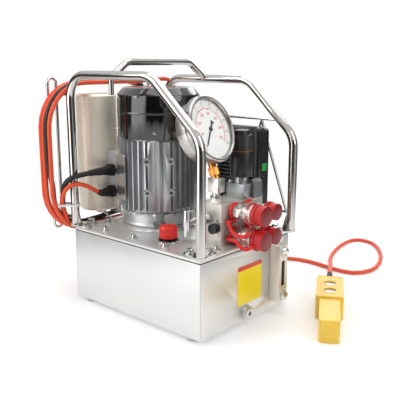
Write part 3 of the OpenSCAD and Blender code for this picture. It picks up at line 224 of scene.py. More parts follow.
shade = maths(tree, "MULTIPLY", rays.outputs["Is Glossy Ray"],
              maths(tree, "SUBTRACT", 1.0, round_set.outputs[0]))
beyond = tree.nodes.new("ShaderNodeEmission")
link(tree, maths(tree, "SUBTRACT", 1.0, shade), beyond.inputs["Strength"])
lit = tree.nodes.new("ShaderNodeMixShader")
link(tree, maths(tree, "MULTIPLY", any_view, fade.outputs[0]), lit.inputs[0])
link(tree, near.outputs[0], lit.inputs[1])
link(tree, beyond.outputs[0], lit.inputs[2])
link(tree, lit.outputs[0], tree.nodes["Material Output"].inputs["Surface"])
floor_data.materials.append(paper)

# ---------------------------------------------------------------- tank
# Folded and welded stainless box on four rubber feet. Its sheet has a fine sanded grain, the upright
# corners are closed with a row of small weld spots, and a laser-cut plate on a gasket closes the top.


def srgb(r, g, b):
    """A screen colour, 0 to 255, as the linear colour that a material takes."""
    def straight(v):
        v /= 255
        return v / 12.92 if v <= 0.04045 else ((v + 0.055) / 1.055) ** 2.4
    return (straight(r), straight(g), straight(b), 1.0)


def noise(tree, vector, scale, detail=3.0):
    node = tree.nodes.new("ShaderNodeTexNoise")
    node.inputs["Detail"].default_value = detail
    tree.links.new(vector, node.inputs["Vector"])
    if isinstance(scale, (int, float)):
        node.inputs["Scale"].default_value = scale
    else:
        tree.links.new(scale, node.inputs["Scale"])
    return node.outputs[0]


# handling marks: patches a little darker than the colour, and a roughness that wanders
mottle, given, result = shader_group(
    "mottle",
    [("Color", "NodeSocketColor", (0.8, 0.8, 0.8, 1)), ("Shade", "NodeSocketFloat", 0.1),
     ("Scale", "NodeSocketFloat", 30.0), ("Roughness", "NodeSocketFloat", 0.4),
     ("Spread", "NodeSocketFloat", 0.05)],
    [("Color", "NodeSocketColor"), ("Roughness", "NodeSocketFloat")])
where = mottle.nodes.new("ShaderNodeTexCoord").outputs["Object"]
patches = noise(mottle, where, given.outputs["Scale"], 4.0)
tint = mottle.nodes.new("ShaderNodeMix")
tint.data_type, tint.blend_type = "RGBA", "MULTIPLY"
link(mottle, maths(mottle, "MULTIPLY", patches, given.outputs["Shade"]), tint.inputs[0])
link(mottle, given.outputs["Color"], tint.inputs[6])
tint.inputs[7].default_value = (0.12, 0.12, 0.12, 1)
link(mottle, tint.outputs[2], result.inputs["Color"])
fine = noise(mottle, where, maths(mottle, "MULTIPLY", given.outputs["Scale"], 5.0), 5.0)
wander = maths(mottle, "MULTIPLY", maths(mottle, "SUBTRACT", fine, 0.5), given.outputs["Spread"])
wander = maths(mottle, "MULTIPLY", wander, 4.0)
link(mottle, maths(mottle, "ADD", wander, given.outputs["Roughness"]), result.inputs["Roughness"])

# sanded grain: long fine scratches, level on upright faces and along X on flat ones
ALONG, ACROSS = 14, 1500  # how fast the scratches change along and across their length
grain, given, result = shader_group(
    "sanded_grain", [("Fineness", "NodeSocketFloat", 1.0)], [("Height", "NodeSocketFloat")])
where = grain.nodes.new("ShaderNodeTexCoord").outputs["Object"]
facing = grain.nodes.new("ShaderNodeNewGeometry")
parts = grain.nodes.new("ShaderNodeSeparateXYZ")
link(grain, facing.outputs["Normal"], parts.inputs[0])
flat = maths(grain, "GREATER_THAN", maths(grain, "ABSOLUTE", parts.outputs["Z"]), 0.7)
streaks = []
for stretch in ((ALONG, ALONG, ACROSS), (ALONG, ACROSS, ALONG)):
    place = grain.nodes.new("ShaderNodeMapping")
    place.inputs["Scale"].default_value = stretch
    link(grain, where, place.inputs["Vector"])
    streaks.append(noise(grain, place.outputs[0], given.outputs["Fineness"], 2.0))
chosen = grain.nodes.new("ShaderNodeMix")
link(grain, flat, chosen.inputs[0])
link(grain, streaks[0], chosen.inputs[2])
link(grain, streaks[1], chosen.inputs[3])
link(grain, chosen.outputs[0], result.inputs[0])

# cast or moulded skin: a soft orange-peel height
peel, given, result = shader_group(
    "moulded_skin", [("Scale", "NodeSocketFloat", 900.0)], [("Height", "NodeSocketFloat")])
where = peel.nodes.new("ShaderNodeTexCoord").outputs["Object"]
link(peel, noise(peel, where, given.outputs["Scale"], 2.0), result.inputs[0])


CREASE = math.radians(32)  # edges sharper than this stay sharp or get a small bevel
BUMP = 0.0004  # depth of the sanded and moulded relief at full strength


def finish(name, colour, rough, metal=0.0, shade=0.12, spread=0.04, scale=30.0, coat=0.0,
           sanded=0.0, skin=0.0, skin_scale=900.0):
    """A surface finish: one shader with handling marks, and a sanded or moulded relief."""
    made = bpy.data.materials.new(name)
    made.use_nodes = True
    tree = made.node_tree
    shader = tree.nodes["Principled BSDF"]
    shader.inputs["Metallic"].default_value = metal
    shader.inputs["Coat Weight"].default_value = coat
    shader.inputs["Coat Roughness"].default_value = 0.06
    marks = tree.nodes.new("ShaderNodeGroup")
    marks.node_tree = mottle
    marks.inputs["Color"].default_value = colour
    marks.inputs["Shade"].default_value = shade
    marks.inputs["Scale"].default_value = scale
    marks.inputs["Roughness"].default_value = rough
    marks.inputs["Spread"].default_value = spread
    link(tree, marks.outputs["Color"], shader.inputs["Base Color"])
    link(tree, marks.outputs["Roughness"], shader.inputs["Roughness"])
    for source, depth, dial, value in ((grain, sanded, "Fineness", 1.0),
                                       (peel, skin, "Scale", skin_scale)):
        if depth:
            relief = tree.nodes.new("ShaderNodeGroup")
            relief.node_tree = source
            relief.inputs[dial].default_value = value
            bump = tree.nodes.new("ShaderNodeBump")
            bump.inputs["Strength"].default_value = depth
            bump.inputs["Distance"].default_value = BUMP
            link(tree, relief.outputs["Height"], bump.inputs["Height"])
            link(tree, bump.outputs[0], shader.inputs["Normal"])
    return made


def dress(node, material, edge=0.0005):
    """Gives a CAD part its finish, and breaks its sharp edges by a small radius."""
    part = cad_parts[node]
    part.data.materials.clear()
    part.data.materials.append(material)
    for face in part.data.polygons:
        face.use_smooth = True
    weld = part.modifiers.new("joined", "WELD")
    weld.merge_threshold = 1e-6
    if edge:
        broken = part.modifiers.new("broken_edges", "BEVEL")
        broken.width, broken.segments = edge, 2
        broken.limit_method, broken.angle_limit = "ANGLE", CREASE
        broken.harden_normals = True
    else:
        sharp = part.modifiers.new("sharp_edges", "EDGE_SPLIT")
        sharp.split_angle = CREASE


def piece(name, shape, material, body="unit", smooth=True):
    """A finished bmesh as a piece that rides on a CAD body."""
    bmesh.ops.remove_doubles(shape, verts=shape.verts, dist=1e-6)
    bmesh.ops.recalc_face_normals(shape, faces=shape.faces)
    data = bpy.data.meshes.new(name)
    shape.to_mesh(data)
    shape.free()
    for face in data.polygons:
        face.use_smooth = smooth
    data.materials.append(material)
    made = bpy.data.objects.new(name, data)
    scene.collection.objects.link(made)
    if smooth:
        sharp = made.modifiers.new("sharp_edges", "EDGE_SPLIT")
        sharp.split_angle = CREASE
    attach(made, body)


def two_tone(material, axis, limit, other, facing=False, below=False):
    """Gives a finish another colour past a limit along an axis, by place, or by the way a face looks,
    which paints shade on the faces turned that way.
    """
    tree = material.node_tree
    source = tree.nodes.new("ShaderNodeNewGeometry" if facing else "ShaderNodeTexCoord")
    parts = tree.nodes.new("ShaderNodeSeparateXYZ")
    link(tree, source.outputs["Normal" if facing else "Object"], parts.inputs[0])
    chosen = tree.nodes.new("ShaderNodeMix")
    chosen.data_type = "RGBA"
    own, changed = (7, 6) if below else (6, 7)
    link(tree, maths(tree, "GREATER_THAN", parts.outputs[axis], limit), chosen.inputs[0])
    link(tree, tree.nodes["Group"].outputs["Color"], chosen.inputs[own])
    chosen.inputs[changed].default_value = other
    link(tree, chosen.outputs[2], tree.nodes["Principled BSDF"].inputs["Base Color"])


def slab(deep, wide, tall, corner, back=0.0, segments=4):
    """A plate with round corners that faces +X, its front at the origin less back."""
    shape = bmesh.new()
    bmesh.ops.create_cube(shape, size=1.0)
    bmesh.ops.scale(shape, verts=shape.verts, vec=(deep, wide, tall))
    through = [e for e in shape.edges if abs((e.verts[0].co - e.verts[1].co).x) > deep / 2]
    bmesh.ops.bevel(shape, geom=through, offset=corner, segments=segments, profile=0.5,
                    affect="EDGES", material=-1)
    bmesh.ops.translate(shape, verts=shape.verts, vec=(-deep / 2 - back, 0, 0))
    return shape


sheet = finish("sanded_sheet", srgb(224, 224, 222), 0.42, metal=1.0, shade=0.10, spread=0.03,
               scale=9.0, sanded=0.10)
plate = finish("ground_plate", srgb(228, 227, 224), 0.42, metal=0.7, shade=0.14, spread=0.05,
               scale=12.0, sanded=0.14)
weld_metal = finish("weld_spots", srgb(186, 184, 180), 0.3, metal=1.0, shade=0.3, scale=200.0)
foot_rubber = finish("foot_rubber", srgb(205, 204, 202), 0.55, shade=0.15, skin=0.3)
black_rubber = finish("black_rubber", srgb(24, 24, 24), 0.6, shade=0.2, skin=0.3)
bright_steel = finish("bright_steel", srgb(214, 214, 214), 0.24, metal=0.95, shade=0.22, spread=0.05,
                      scale=60.0)
dress("tank", sheet, 0.0008)
dress("top_plate", plate, 0.0005)
dress("rubber_feet", foot_rubber, 0.0008)
dress("lid_gasket", black_rubber, 0)
dress("fasteners", bright_steel, 0.0003)
dress("drain_plug", bright_steel, 0.0004)

tank_low, tank_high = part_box("tank")
BEAD, BEAD_PITCH = 0.0009, 0.0021
BEAD_IN = 0.0007  # how far the spots sit inside the corner
BEAD_FROM, BEAD_TO = 0.004, 0.002  # where the row begins above the bottom and ends below the top
beads = bmesh.new()
for x in (tank_low.x, tank_high.x):
    for y in (tank_low.y, tank_high.y):
        z = tank_low.z + BEAD_FROM
        while z < tank_high.z - BEAD_TO:
            inward = Vector((math.copysign(BEAD_IN, -x), math.copysign(BEAD_IN, -y), 0))
            bmesh.ops.create_icosphere(
                beads, subdivisions=1, radius=BEAD,
                matrix=Matrix.Translation(Vector((x, y, z)) + inward))
            z += BEAD_PITCH
piece("corner_weld_spots", beads, weld_metal)

# Blank safety plate: a thin yellow lacquered sheet with a red band along its top, stuck on the
# tank's coupler end. It carries no wording.
PANEL_Y, PANEL_Z, PANEL_CORNER = (-0.027, 0.040), (0.038, 0.109), 0.002
BAND_Z = PANEL_Z[1] - 0.0075
FILM = 0.0006  # thickness of the stuck-on plates
panel = slab(FILM, PANEL_Y[1] - PANEL_Y[0], PANEL_Z[1] - PANEL_Z[0], PANEL_CORNER)
bmesh.ops.translate(panel, verts=panel.verts, vec=(
    tank_high.x + FILM, sum(PANEL_Y) / 2, sum(PANEL_Z) / 2))
lacquer = finish("yellow_lacquer", srgb(252, 226, 30), 0.35, shade=0.05, coat=0.3)
two_tone(lacquer, "Z", BAND_Z, srgb(214, 40, 34))
piece("blank_safety_plate", panel, lacquer)

# ---------------------------------------------------------------- level gauge
# A guard folded from stainless sheet stands over a clear sight tube, through which the amber oil
# shows. Both are bolted to the tank's end.
dress("level_guard", finish("guard_sheet", srgb(230, 226, 216), 0.42, metal=0.6, shade=0.12,
                            scale=20.0, sanded=0.12), 0.0005)
dress("level_tube", finish("sight_tube", srgb(150, 120, 70), 0.12, shade=0.2, coat=0.6), 0)

# ---------------------------------------------------------------- frame
# Two bent hoops and a grip of bright polished stainless tube, welded to pads on the top plate, with
# a wire rack for the cables and thin wires behind the cooler.
polished = finish("polished_tube", srgb(192, 189, 185), 0.10, metal=1.0, shade=0.10, spread=0.02,
                  scale=16.0)
wire = finish("polished_wire", srgb(212, 211, 208), 0.16, metal=1.0, shade=0.15, spread=0.03)
for node in ("front_hoop", "rear_hoop", "carry_handle"):
    dress(node, polished, 0)
dress("cable_rack", wire, 0)
dress("guard_wires", wire, 0)

# ---------------------------------------------------------------- motor
# Die-cast finned housing in a metallic grey enamel, a gloss black pressed fan cover with a rolled
# seam, and a light grey connection box with two black cable glands.
enamel = finish("grey_enamel", srgb(188, 190, 192), 0.36, metal=0.8, shade=0.30, spread=0.06,
                scale=45.0, skin=0.25, skin_scale=700.0)
shield_cast = finish("shield_cast", srgb(198, 199, 200), 0.36, metal=0.6, shade=0.25, spread=0.05,
                     scale=40.0, skin=0.2, skin_scale=600.0)
gloss_black = finish("gloss_black", srgb(8, 8, 9), 0.09, shade=0.15, spread=0.02, coat=0.8)
moulded_black = finish("moulded_black", srgb(15, 15, 16), 0.38, shade=0.25, skin=0.25)
grey_plastic = finish("grey_plastic", srgb(196, 197, 197), 0.33, shade=0.12, skin=0.15)
core_iron = finish("core_iron", srgb(120, 92, 70), 0.5, metal=0.6, shade=0.4)
dress("motor_housing", enamel, 0.0005)
dress("drive_end_shield", shield_cast, 0.0006)
dress("motor_stator", core_iron, 0)
dress("motor_rotor", core_iron, 0)
dress("motor_bearings", bright_steel, 0)
dress("pump_body", core_iron, 0)
dress("fan_cover", gloss_black, 0.0008)
dress("cooling_fan", moulded_black, 0)
dress("terminal_box", grey_plastic, 0.001)
dress("terminal_lid", grey_plastic, 0.0008)
dress("cable_glands", moulded_black, 0.0004)


def turned(profile, centre=(0, 0, 0), towards=(0, 0, 1), steps=48):
    """A turned shape: a profile of (radius, height), spun about an axis through centre."""
    shape = bmesh.new()
    points = [shape.verts.new((r, 0, z)) for r, z in profile]
    rims = [shape.edges.new(pair) for pair in zip(points, points[1:])]
    bmesh.ops.spin(shape, geom=points + rims, cent=(0, 0, 0), axis=(0, 0, 1), dvec=(0, 0, 0),
                   angle=2 * math.pi, steps=steps, use_merge=True, use_duplicate=False)
    bmesh.ops.remove_doubles(shape, verts=shape.verts, dist=1e-6)
    stand = Vector(towards).to_track_quat("Z", "Y").to_matrix().to_4x4()
    bmesh.ops.transform(shape, matrix=Matrix.Translation(centre) @ stand, verts=shape.verts)
    return shape


def gather(*shapes):
    """Several bmeshes as one."""
    whole = bmesh.new()
    for shape in shapes:
        part = bpy.data.meshes.new("part")
        shape.to_mesh(part)
        shape.free()
        whole.from_mesh(part)
        bpy.data.meshes.remove(part)
    return whole


def ring(outline, centre, steps=48):
    """A turned ring; its outline is given as (radius, distance from mid height), from inside to out."""
    lower = [(r, -h) for r, h in outline]
    upper = [(r, h) for r, h in outline[::-1] if h]
    return turned(lower + upper + lower[:1], centre, steps=steps)


cover_low, cover_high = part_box("fan_cover")
MOTOR = Vector(((cover_low.x + cover_high.x) / 2, (cover_low.y + cover_high.y) / 2, 0))
COVER_R = (cover_high.x - cover_low.x) / 2
SEAM_Z = cover_low.z + 0.047
seam = ring([(COVER_R - 0.001, 0.0022), (COVER_R + 0.0002, 0.0018), (COVER_R + 0.0007, 0.0006)],
            MOTOR + Vector((0, 0, SEAM_Z)), steps=96)
piece("cover_rolled_seam", seam, gloss_black)

# Blank rating plate: bright sheet metal on a cast pad that stands on the fins, held at its corners by
# four drive pins. It carries no wording.
PLATE_AT, PLATE_TURN = (-0.0934, -0.0649, 0.244), math.radians(-113.6)
PLATE_SIZE, PLATE_THICK = (0.050, 0.088), 0.0008
PIN_Y, PIN_Z = 0.021, 0.040
PAD_SIZE, PAD_BACK = (0.006, 0.030, 0.080), 0.0007
PLATE_CORNER = 0.003
stand = Matrix.Translation(PLATE_AT) @ Matrix.Rotation(PLATE_TURN, 4, "Z")
strip = slab(PLATE_THICK, *PLATE_SIZE, PLATE_CORNER)
pins = [turned([(0, 0.0009), (0.0011, 0.0007), (0.0016, 0.0), (0.0016, -0.0006), (0, -0.0006)],
               (0, y, z), (1, 0, 0), 16) for y in (-PIN_Y, PIN_Y) for z in (-PIN_Z, PIN_Z)]
rated = gather(strip, *pins)
bmesh.ops.transform(rated, matrix=stand, verts=rated.verts)
piece("blank_rating_plate", rated, bright_steel)
pad = slab(*PAD_SIZE, PLATE_CORNER, PAD_BACK)
bmesh.ops.transform(pad, matrix=stand, verts=pad.verts)
piece("rating_plate_pad", pad, enamel)

# ---------------------------------------------------------------- capacitor
# A drawn aluminium can in a satin champagne anodised finish. The stud in its base is nutted through
# the shelf of a bent flat bar.
can = finish("champagne_can", srgb(255, 246, 228), 0.40, metal=0.35, shade=0.05, spread=0.04,
             scale=14.0, sanded=0.05)
dress("capacitor_can", can, 0)
dress("capacitor_bracket", sheet, 0.0004)

# ---------------------------------------------------------------- filler
# A turned steel neck with a black rubber seal on its collar, under a knurled filler and breather cap
# moulded in red plastic.
red_plastic = finish("red_plastic", srgb(238, 40, 30), 0.32, shade=0.15, spread=0.03, skin=0.12)
ringed = finish("neck_and_ring", srgb(206, 205, 202), 0.28, metal=0.9, shade=0.15)
neck_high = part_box("filler_neck")[1]
SEAL_H = 0.0046  # height of the seal
two_tone(ringed, "Z", neck_high.z - SEAL_H, srgb(20, 20, 21))
dress("filler_neck", ringed, 0.0004)
dress("filler_cap", red_plastic, 0.0006)


def flutes(centre, towards, radius, long, count, thick):
    """Small round ribs side by side round an axis, for a knurled grip."""
    shape = bmesh.new()
    for k in range(count):
        a = 2 * math.pi * k / count
        spot = Matrix.Translation((radius * math.cos(a), radius * math.sin(a), 0))
        bmesh.ops.create_cone(shape, segments=8, radius1=thick, radius2=thick, depth=long,
                              cap_ends=True, matrix=spot)
    stand = Vector(towards).to_track_quat("Z", "Y").to_matrix().to_4x4()
    bmesh.ops.transform(shape, matrix=Matrix.Translation(centre) @ stand, verts=shape.verts)
    return shape


cap_low, cap_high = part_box("filler_cap")
cap_at = (cap_low + cap_high) / 2
CAP_R = (cap_high.x - cap_low.x) / 2
RIB = 0.0008  # radius of a knurl's ribs
grip = flutes((cap_at.x, cap_at.y, cap_high.z - 0.0118), (0, 0, 1), CAP_R - 0.0002,
              long=0.0150, count=30, thick=RIB)
piece("filler_cap_grip", grip, red_plastic, body="filler_cap")

# ---------------------------------------------------------------- manifold and couplers
# A nickel-plated steel block with zinc-plated quick couplers. Their dust caps are red anodised, and
# hang on soft red straps.
block = finish("nickel_block", srgb(206, 201, 192), 0.46, metal=0.6, shade=0.12, spread=0.04,
               scale=22.0, sanded=0.06)
zinc = finish("zinc_plating", srgb(214, 210, 202), 0.30, metal=0.85, shade=0.22, spread=0.06,
              scale=70.0)
anodised = finish("red_anodised_shaded_ends", srgb(206, 24, 28), 0.42, shade=0.18, spread=0.05, scale=60.0)
SHADED_ENDS_FACING = 0.8  # the caps' ends, which face +X this much, are given a deeper red as painted shade
two_tone(anodised, "X", SHADED_ENDS_FACING, srgb(126, 10, 14), facing=True)
soft_red = finish("soft_red_strap", srgb(238, 46, 38), 0.38, shade=0.12, skin=0.15)
dress("manifold", block, 0.0008)
dress("relief_valve", bright_steel, 0.0004)
dress("tee_handle", bright_steel, 0.0005)
dress("bleed_knob", moulded_black, 0.0005)
dress("coupler_bodies", zinc, 0.0004)
dress("cap_straps", soft_red, 0.0006)
for node in ("supply_cap_upper", "supply_cap_lower", "return_cap_upper", "return_cap_lower"):
    dress(node, anodised, 0.0007)
    cap_low, cap_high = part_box(node)
    cap_at = (cap_low + cap_high) / 2
    rim = flutes((cap_low.x + 0.0045, cap_at.y, cap_at.z), (1, 0, 0),
                 (cap_high.z - cap_low.z) / 2 - 0.0001, long=0.0065, count=32, thick=RIB)
    piece(node + "_grip", rim, anodised, body=node)

# ---------------------------------------------------------------- gauge
# Glycerine-filled dial gauge: polished case and bayonet bezel, white printed dial, black pointer,
# on brass and steel fittings. The dial has a black outer and a red inner scale of plain numbers.
BRASS_Z = 0.2625  # the stem is steel below this
brass = finish("brass", srgb(206, 142, 74), 0.28, metal=1.0, shade=0.3, spread=0.05, scale=60.0)
two_tone(brass, "Z", BRASS_Z, srgb(206, 203, 196), below=True)
bezel_metal = finish("bezel_metal", srgb(172, 170, 167), 0.18, metal=1.0, shade=0.12, spread=0.03)
dial_white = finish("dial_white", srgb(246, 246, 244), 0.4, shade=0.03)
pointer_black = finish("pointer_black", srgb(14, 14, 14), 0.35, shade=0.1)
dress("gauge_stem", brass, 0.0004)
dress("gauge_case", finish("case_metal", srgb(190, 187, 183), 0.30, metal=1.0, shade=0.12), 0.0005)
dress("gauge_bezel", bezel_metal, 0.0006)
dress("gauge_dial", dial_white, 0)
dress("gauge_pointer", pointer_black, 0)
glass = bpy.data.materials.new("clear_glass")
glass.use_nodes = True
tree = glass.node_tree
shader = tree.nodes["Principled BSDF"]
shader.inputs["Transmission Weight"].default_value = 1.0
shader.inputs["IOR"].default_value = 1.2
marks = tree.nodes.new("ShaderNodeGroup")
marks.node_tree = mottle
for label, value in (("Color", (1, 1, 1, 1)), ("Shade", 0.0), ("Scale", 40.0), ("Roughness", 0.02),
                     ("Spread", 0.004)):
    marks.inputs[label].default_value = value
link(tree, marks.outputs["Color"], shader.inputs["Base Color"])
link(tree, marks.outputs["Roughness"], shader.inputs["Roughness"])
dress("gauge_glass", glass, 0)

# the gauge's front, the way it faces and the dial's upright, as the assembly has them
GAUGE = Vector((0.112, -0.0356, 0.3466))
FACE = Vector((0.9313, 0.0651, 0.3584)).normalized()
UP = -Vector((0.3575, 0.025, -0.9336)).normalized()
UP = (UP - UP.dot(FACE) * FACE).normalized()
RIGHT = UP.cross(FACE).normalized()
DIAL_DEPTH, INK, DIAL_SIZE = 0.008, 0.00006, 1.0886
ZERO, SWEEP = 38, 270  # degrees: the scale's start from straight down, and its length
on_dial = Matrix((
    (RIGHT.x, UP.x, FACE.x), (RIGHT.y, UP.y, FACE.y), (RIGHT.z, UP.z, FACE.z))).to_4x4()
on_dial = Matrix.Translation(GAUGE - FACE * (DIAL_DEPTH - INK)) @ on_dial @ Matrix.Scale(DIAL_SIZE, 4)

vent_at = GAUGE - FACE * 0.030 + UP * 0.0535
piece("gauge_vent_plug", turned([(0, 0.0052), (0.0034, 0.0050), (0.0042, 0.0040), (0.0042, -0.0012),
                                 (0, -0.0012)], vent_at, UP, 24), brass)


def tick(shape, share, inner, outer, width):
    """A printed line across the scale, at a share of the pointer's sweep."""
    angle = math.radians(ZERO + SWEEP * share)
    bar = bmesh.ops.create_cube(shape, size=1.0)["verts"]
    bmesh.ops.scale(shape, verts=bar, vec=(width, outer - inner, INK))
    bmesh.ops.translate(shape, verts=bar, vec=(0, -(inner + outer) / 2, 0))
    bmesh.ops.rotate(shape, verts=bar, cent=(0, 0, 0), matrix=Matrix.Rotation(-angle, 3, "Z"))


def number(shape, text, share, radius, size):
    """An upright printed number on the scale."""
    angle = math.radians(ZERO + SWEEP * share)
    words = bpy.data.curves.new("number", "FONT")
    words.body, words.size, words.extrude = text, size, INK / 2
    words.align_x, words.align_y, words.resolution_u = "CENTER", "CENTER", 3
    holder = bpy.data.objects.new("number", words)
    scene.collection.objects.link(holder)
    drawn = bpy.data.meshes.new_from_object(holder)
    drawn.transform(Matrix.Translation((-math.sin(angle) * radius, -math.cos(angle) * radius, 0)))
    shape.from_mesh(drawn)
    bpy.data.objects.remove(holder)
    bpy.data.meshes.remove(drawn)


def scale(shape, count, group, long_from, short_from, to, long_width):
    """Evenly spaced ticks; the first of each group is longer and wider than the rest."""
    for i in range(count + 1):
        if i % group:
            tick(shape, i / count, short_from, to, FINE_LINE)
        else:
            tick(shape, i / count, long_from, to, long_width)


FINE_LINE = 0.0004
RED_ARC, ARC_STEPS = (0.0333, 0.0341), 180  # the red scale's thin circle line
black_marks, red_marks = bmesh.new(), bmesh.new()
scale(black_marks, 50, 5, 0.0352, 0.0365, 0.0385, 0.0008)
for i in range(11):
    number(black_marks, str(i), i / 10, 0.0418, 0.0058)
scale(red_marks, 70, 10, 0.0302, 0.0318, 0.0338, 0.0009)
for i in range(ARC_STEPS):
    tick(red_marks, (i + 0.5) / ARC_STEPS, *RED_ARC, 0.00084)
for i in range(8):
    number(red_marks, str(100 * i), i / 7, 0.0252, 0.0064)
for marked, name, ink in ((black_marks, "dial_black_scale", srgb(24, 24, 24)),
                          (red_marks, "dial_red_scale", srgb(212, 40, 40))):
    bmesh.ops.transform(marked, matrix=on_dial, verts=marked.verts)
    piece(name, marked, finish(name.replace("scale", "ink"), ink, 0.5, shade=0.05), smooth=False)

# ---------------------------------------------------------------- valve
# A grey painted cast valve body bolted on the manifold, with a black moulded solenoid under its ribbed
# nut, and a grey cable plug on its side.
valve_grey = finish("valve_grey", srgb(158, 160, 162), 0.32, metal=0.7, shade=0.25, scale=50.0,
                    skin=0.15)
dress("valve_body", valve_grey, 0.0006)
dress("solenoid_coil", moulded_black, 0.0006)
dress("valve_connector", finish("plug_grey", srgb(112, 114, 116), 0.4, shade=0.2, skin=0.2), 0.0008)
COIL = Vector((0.112, 0.041, 0))
RIBS_Z, RIB_PITCH, SEAL_Z = 0.3045, 0.0042, 0.3008
ribs = [ring([(0.0190, 0.0012), (0.0196, 0.0008), (0.0199, 0)],
             COIL + Vector((0, 0, RIBS_Z + RIB_PITCH * i))) for i in range(6)]
piece("coil_nut_ribs", gather(*ribs), moulded_black)
piece("coil_seal_ring", ring([(0.0186, 0.0007), (0.0203, 0.0005)], COIL + Vector((0, 0, SEAL_Z))),
      finish("amber_seal", srgb(150, 84, 30), 0.4, shade=0.1))

# ---------------------------------------------------------------- cooler
# A black painted sheet shroud round a core of aluminium fins, with a moulded fan behind it and a
# small blank green plate stuck on its side.
dress("cooler_core", finish("cooler_core", srgb(88, 88, 90), 0.45, metal=0.5, shade=0.3), 0.0003)
dress("cooler_shroud", finish("shroud_black", srgb(22, 22, 24), 0.28, shade=0.2, skin=0.2), 0.001)
dress("cooler_fan", moulded_black, 0)
shroud_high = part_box("cooler_shroud")[1]
SQUARE, SQUARE_Y, SQUARE_Z = 0.014, 0.099, 0.264
square = slab(FILM, SQUARE, SQUARE, 0.001, segments=3)
bmesh.ops.translate(square, verts=square.verts, vec=(shroud_high.x + FILM, SQUARE_Y, SQUARE_Z))
piece("blank_green_plate", square, finish("green_film", srgb(40, 160, 66), 0.4, shade=0.05))

# ---------------------------------------------------------------- pendant
# A yellow plastic shell moulded in two halves, with two sprung silver buttons and a black rubber boot
# where the cable enters.
yellow = finish("pendant_yellow", srgb(248, 206, 78), 0.34, shade=0.10, spread=0.03, skin=0.10)
dress("pendant_shell", yellow, 0.0015)
dress("pendant_boot", black_rubber, 0.0005)
silver = finish("button_silver", srgb(214, 212, 208), 0.25, metal=0.6, shade=0.2, scale=90.0)
dress("run_button", silver, 0.0008)
dress("release_button", silver, 0.0008)

# ---------------------------------------------------------------- cables
# The orange remote lead and the black mains lead. Each leaves its gland, passes the near hoop and is
# wound on the wire rack. The remote lead is one cable made in two pieces, and goes on over the back to
# the pendant on the floor; the mains lead ends in its plug behind the unit.
RACK_Y, RACK_Z, RACK_W, RACK_H, RACK_R = -0.012, 0.272, 0.288, 0.286, 0.085
FLAT, RISE, ARC = RACK_W - 2 * RACK_R, RACK_H - 2 * RACK_R, RACK_R * math.pi / 2
LAP = 2 * FLAT + 2 * RISE + 4 * ARC


def rack_point(s, x, proud=0.0):
    """A point s along the winding, from the start of its lower run, towards +Y, up and round."""
    s %= LAP
    side, half_w, half_h, r = 0, FLAT / 2, RISE / 2, RACK_R + proud
    runs = ((FLAT, (-half_w, -half_h), (1, 0)), (ARC, (half_w, -half_h), None),
            (RISE, (half_w, -half_h), (0, 1)), (ARC, (half_w, half_h), None),
            (FLAT, (half_w, half_h), (-1, 0)), (ARC, (-half_w, half_h), None),
            (RISE, (-half_w, half_h), (0, -1)), (ARC, (-half_w, -half_h), None))
    for length, (cy, cz), along in runs:
        if s <= length:
            break
        s -= length
        side += along is None
    a = math.radians(-90 + 90 * side)
    if along:
        y = cy + along[0] * s + r * math.cos(a)
        z = cz + along[1] * s + r * math.sin(a)
    else:
        a += s / RACK_R
        y, z = cy + r * math.cos(a), cz + r * math.sin(a)
    return Vector((x, RACK_Y + y, RACK_Z + z))


def eased(s, start, end):
    """Goes smoothly from 0 to 1 as s goes from start to end."""
    t = min(1.0, max(0.0, (s - start) / (end - start)))
    return t * t * (3 - 2 * t)


def smooth_route(points, steps):
    """A smooth curve through the points."""
    out = []
    for i in range(len(points) - 1):
        a, b, c, d = (points[max(0, min(len(points) - 1, k))] for k in (i - 1, i, i + 1, i + 2))
        for k in range(steps):
            t = k / steps
            out.append(0.5 * (2 * b + (c - a) * t + (2 * a - 5 * b + 4 * c - d) * t ** 2
                              + (3 * b - a - 3 * c + d) * t ** 3))
    return out + [points[-1]]


def metres(*rows):
    """Points given in millimetres."""
    return [Vector(row) / 1000 for row in rows]


def cord_piece(name, points, diameter, material):
    """A round cord along points, as a curve with a round section."""
    line = bpy.data.curves.new(name, "CURVE")
    line.dimensions, line.bevel_depth, line.bevel_resolution = "3D", diameter / 2, 4
    line.use_fill_caps = True
    run = line.splines.new("POLY")
    run.points.add(len(points) - 1)
    for point, place in zip(run.points, points):
        point.co = (*place, 1)
    line.materials.append(material)
    made = bpy.data.objects.new(name, line)
    scene.collection.objects.link(made)
    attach(made, "unit")
    return made


orange = finish("orange_sheath", srgb(236, 84, 44), 0.42, shade=0.10, spread=0.03, skin=0.10,
                skin_scale=1500.0)
black_sheath = finish("black_sheath", srgb(15, 15, 16), 0.5, shade=0.2, spread=0.04, skin=0.15,
                      skin_scale=1500.0)
REMOTE_D, MAINS_D = 0.0085, 0.010
SLOT_A, SLOT_B, SLOT_C, SLOT_D = -0.211, -0.2025, -0.1932, -0.184  # from the outside inwards
UNDER_MAINS = 0.0105  # how far inside the rack's line the remote cord crosses the mains cord
INSIDE = 0.0098  # how far inside the laps the mains cord runs to its plug

lead = metres((-143, -72, 205), (-145, -85, 212), (-148, -101, 222), (-153, -117, 228),
              (-159, -131, 227), (-167, -139, 217), (-175, -141, 202), (-180, -138, 187),
              (-182, -132, 172))
step = LAP / 60
wound = []
s = -0.055
while s < 2 * LAP + 0.12:
    crossing = eased(s, 0.235, 0.305) - eased(s, 0.315, 0.385)
    x = SLOT_D - (SLOT_D - SLOT_B) * eased(s, 0.255, 0.365)
    x -= (SLOT_B - SLOT_A) * eased(s, LAP + 0.01, LAP + 0.11)
    wound.append(rack_point(s, x, -UNDER_MAINS * crossing))
    s += step
remote = smooth_route(lead, 2) + wound
remote_wound = cord_piece("remote_cord_wound", remote, REMOTE_D, orange)
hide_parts("remote_lead")
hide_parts("remote_coil")

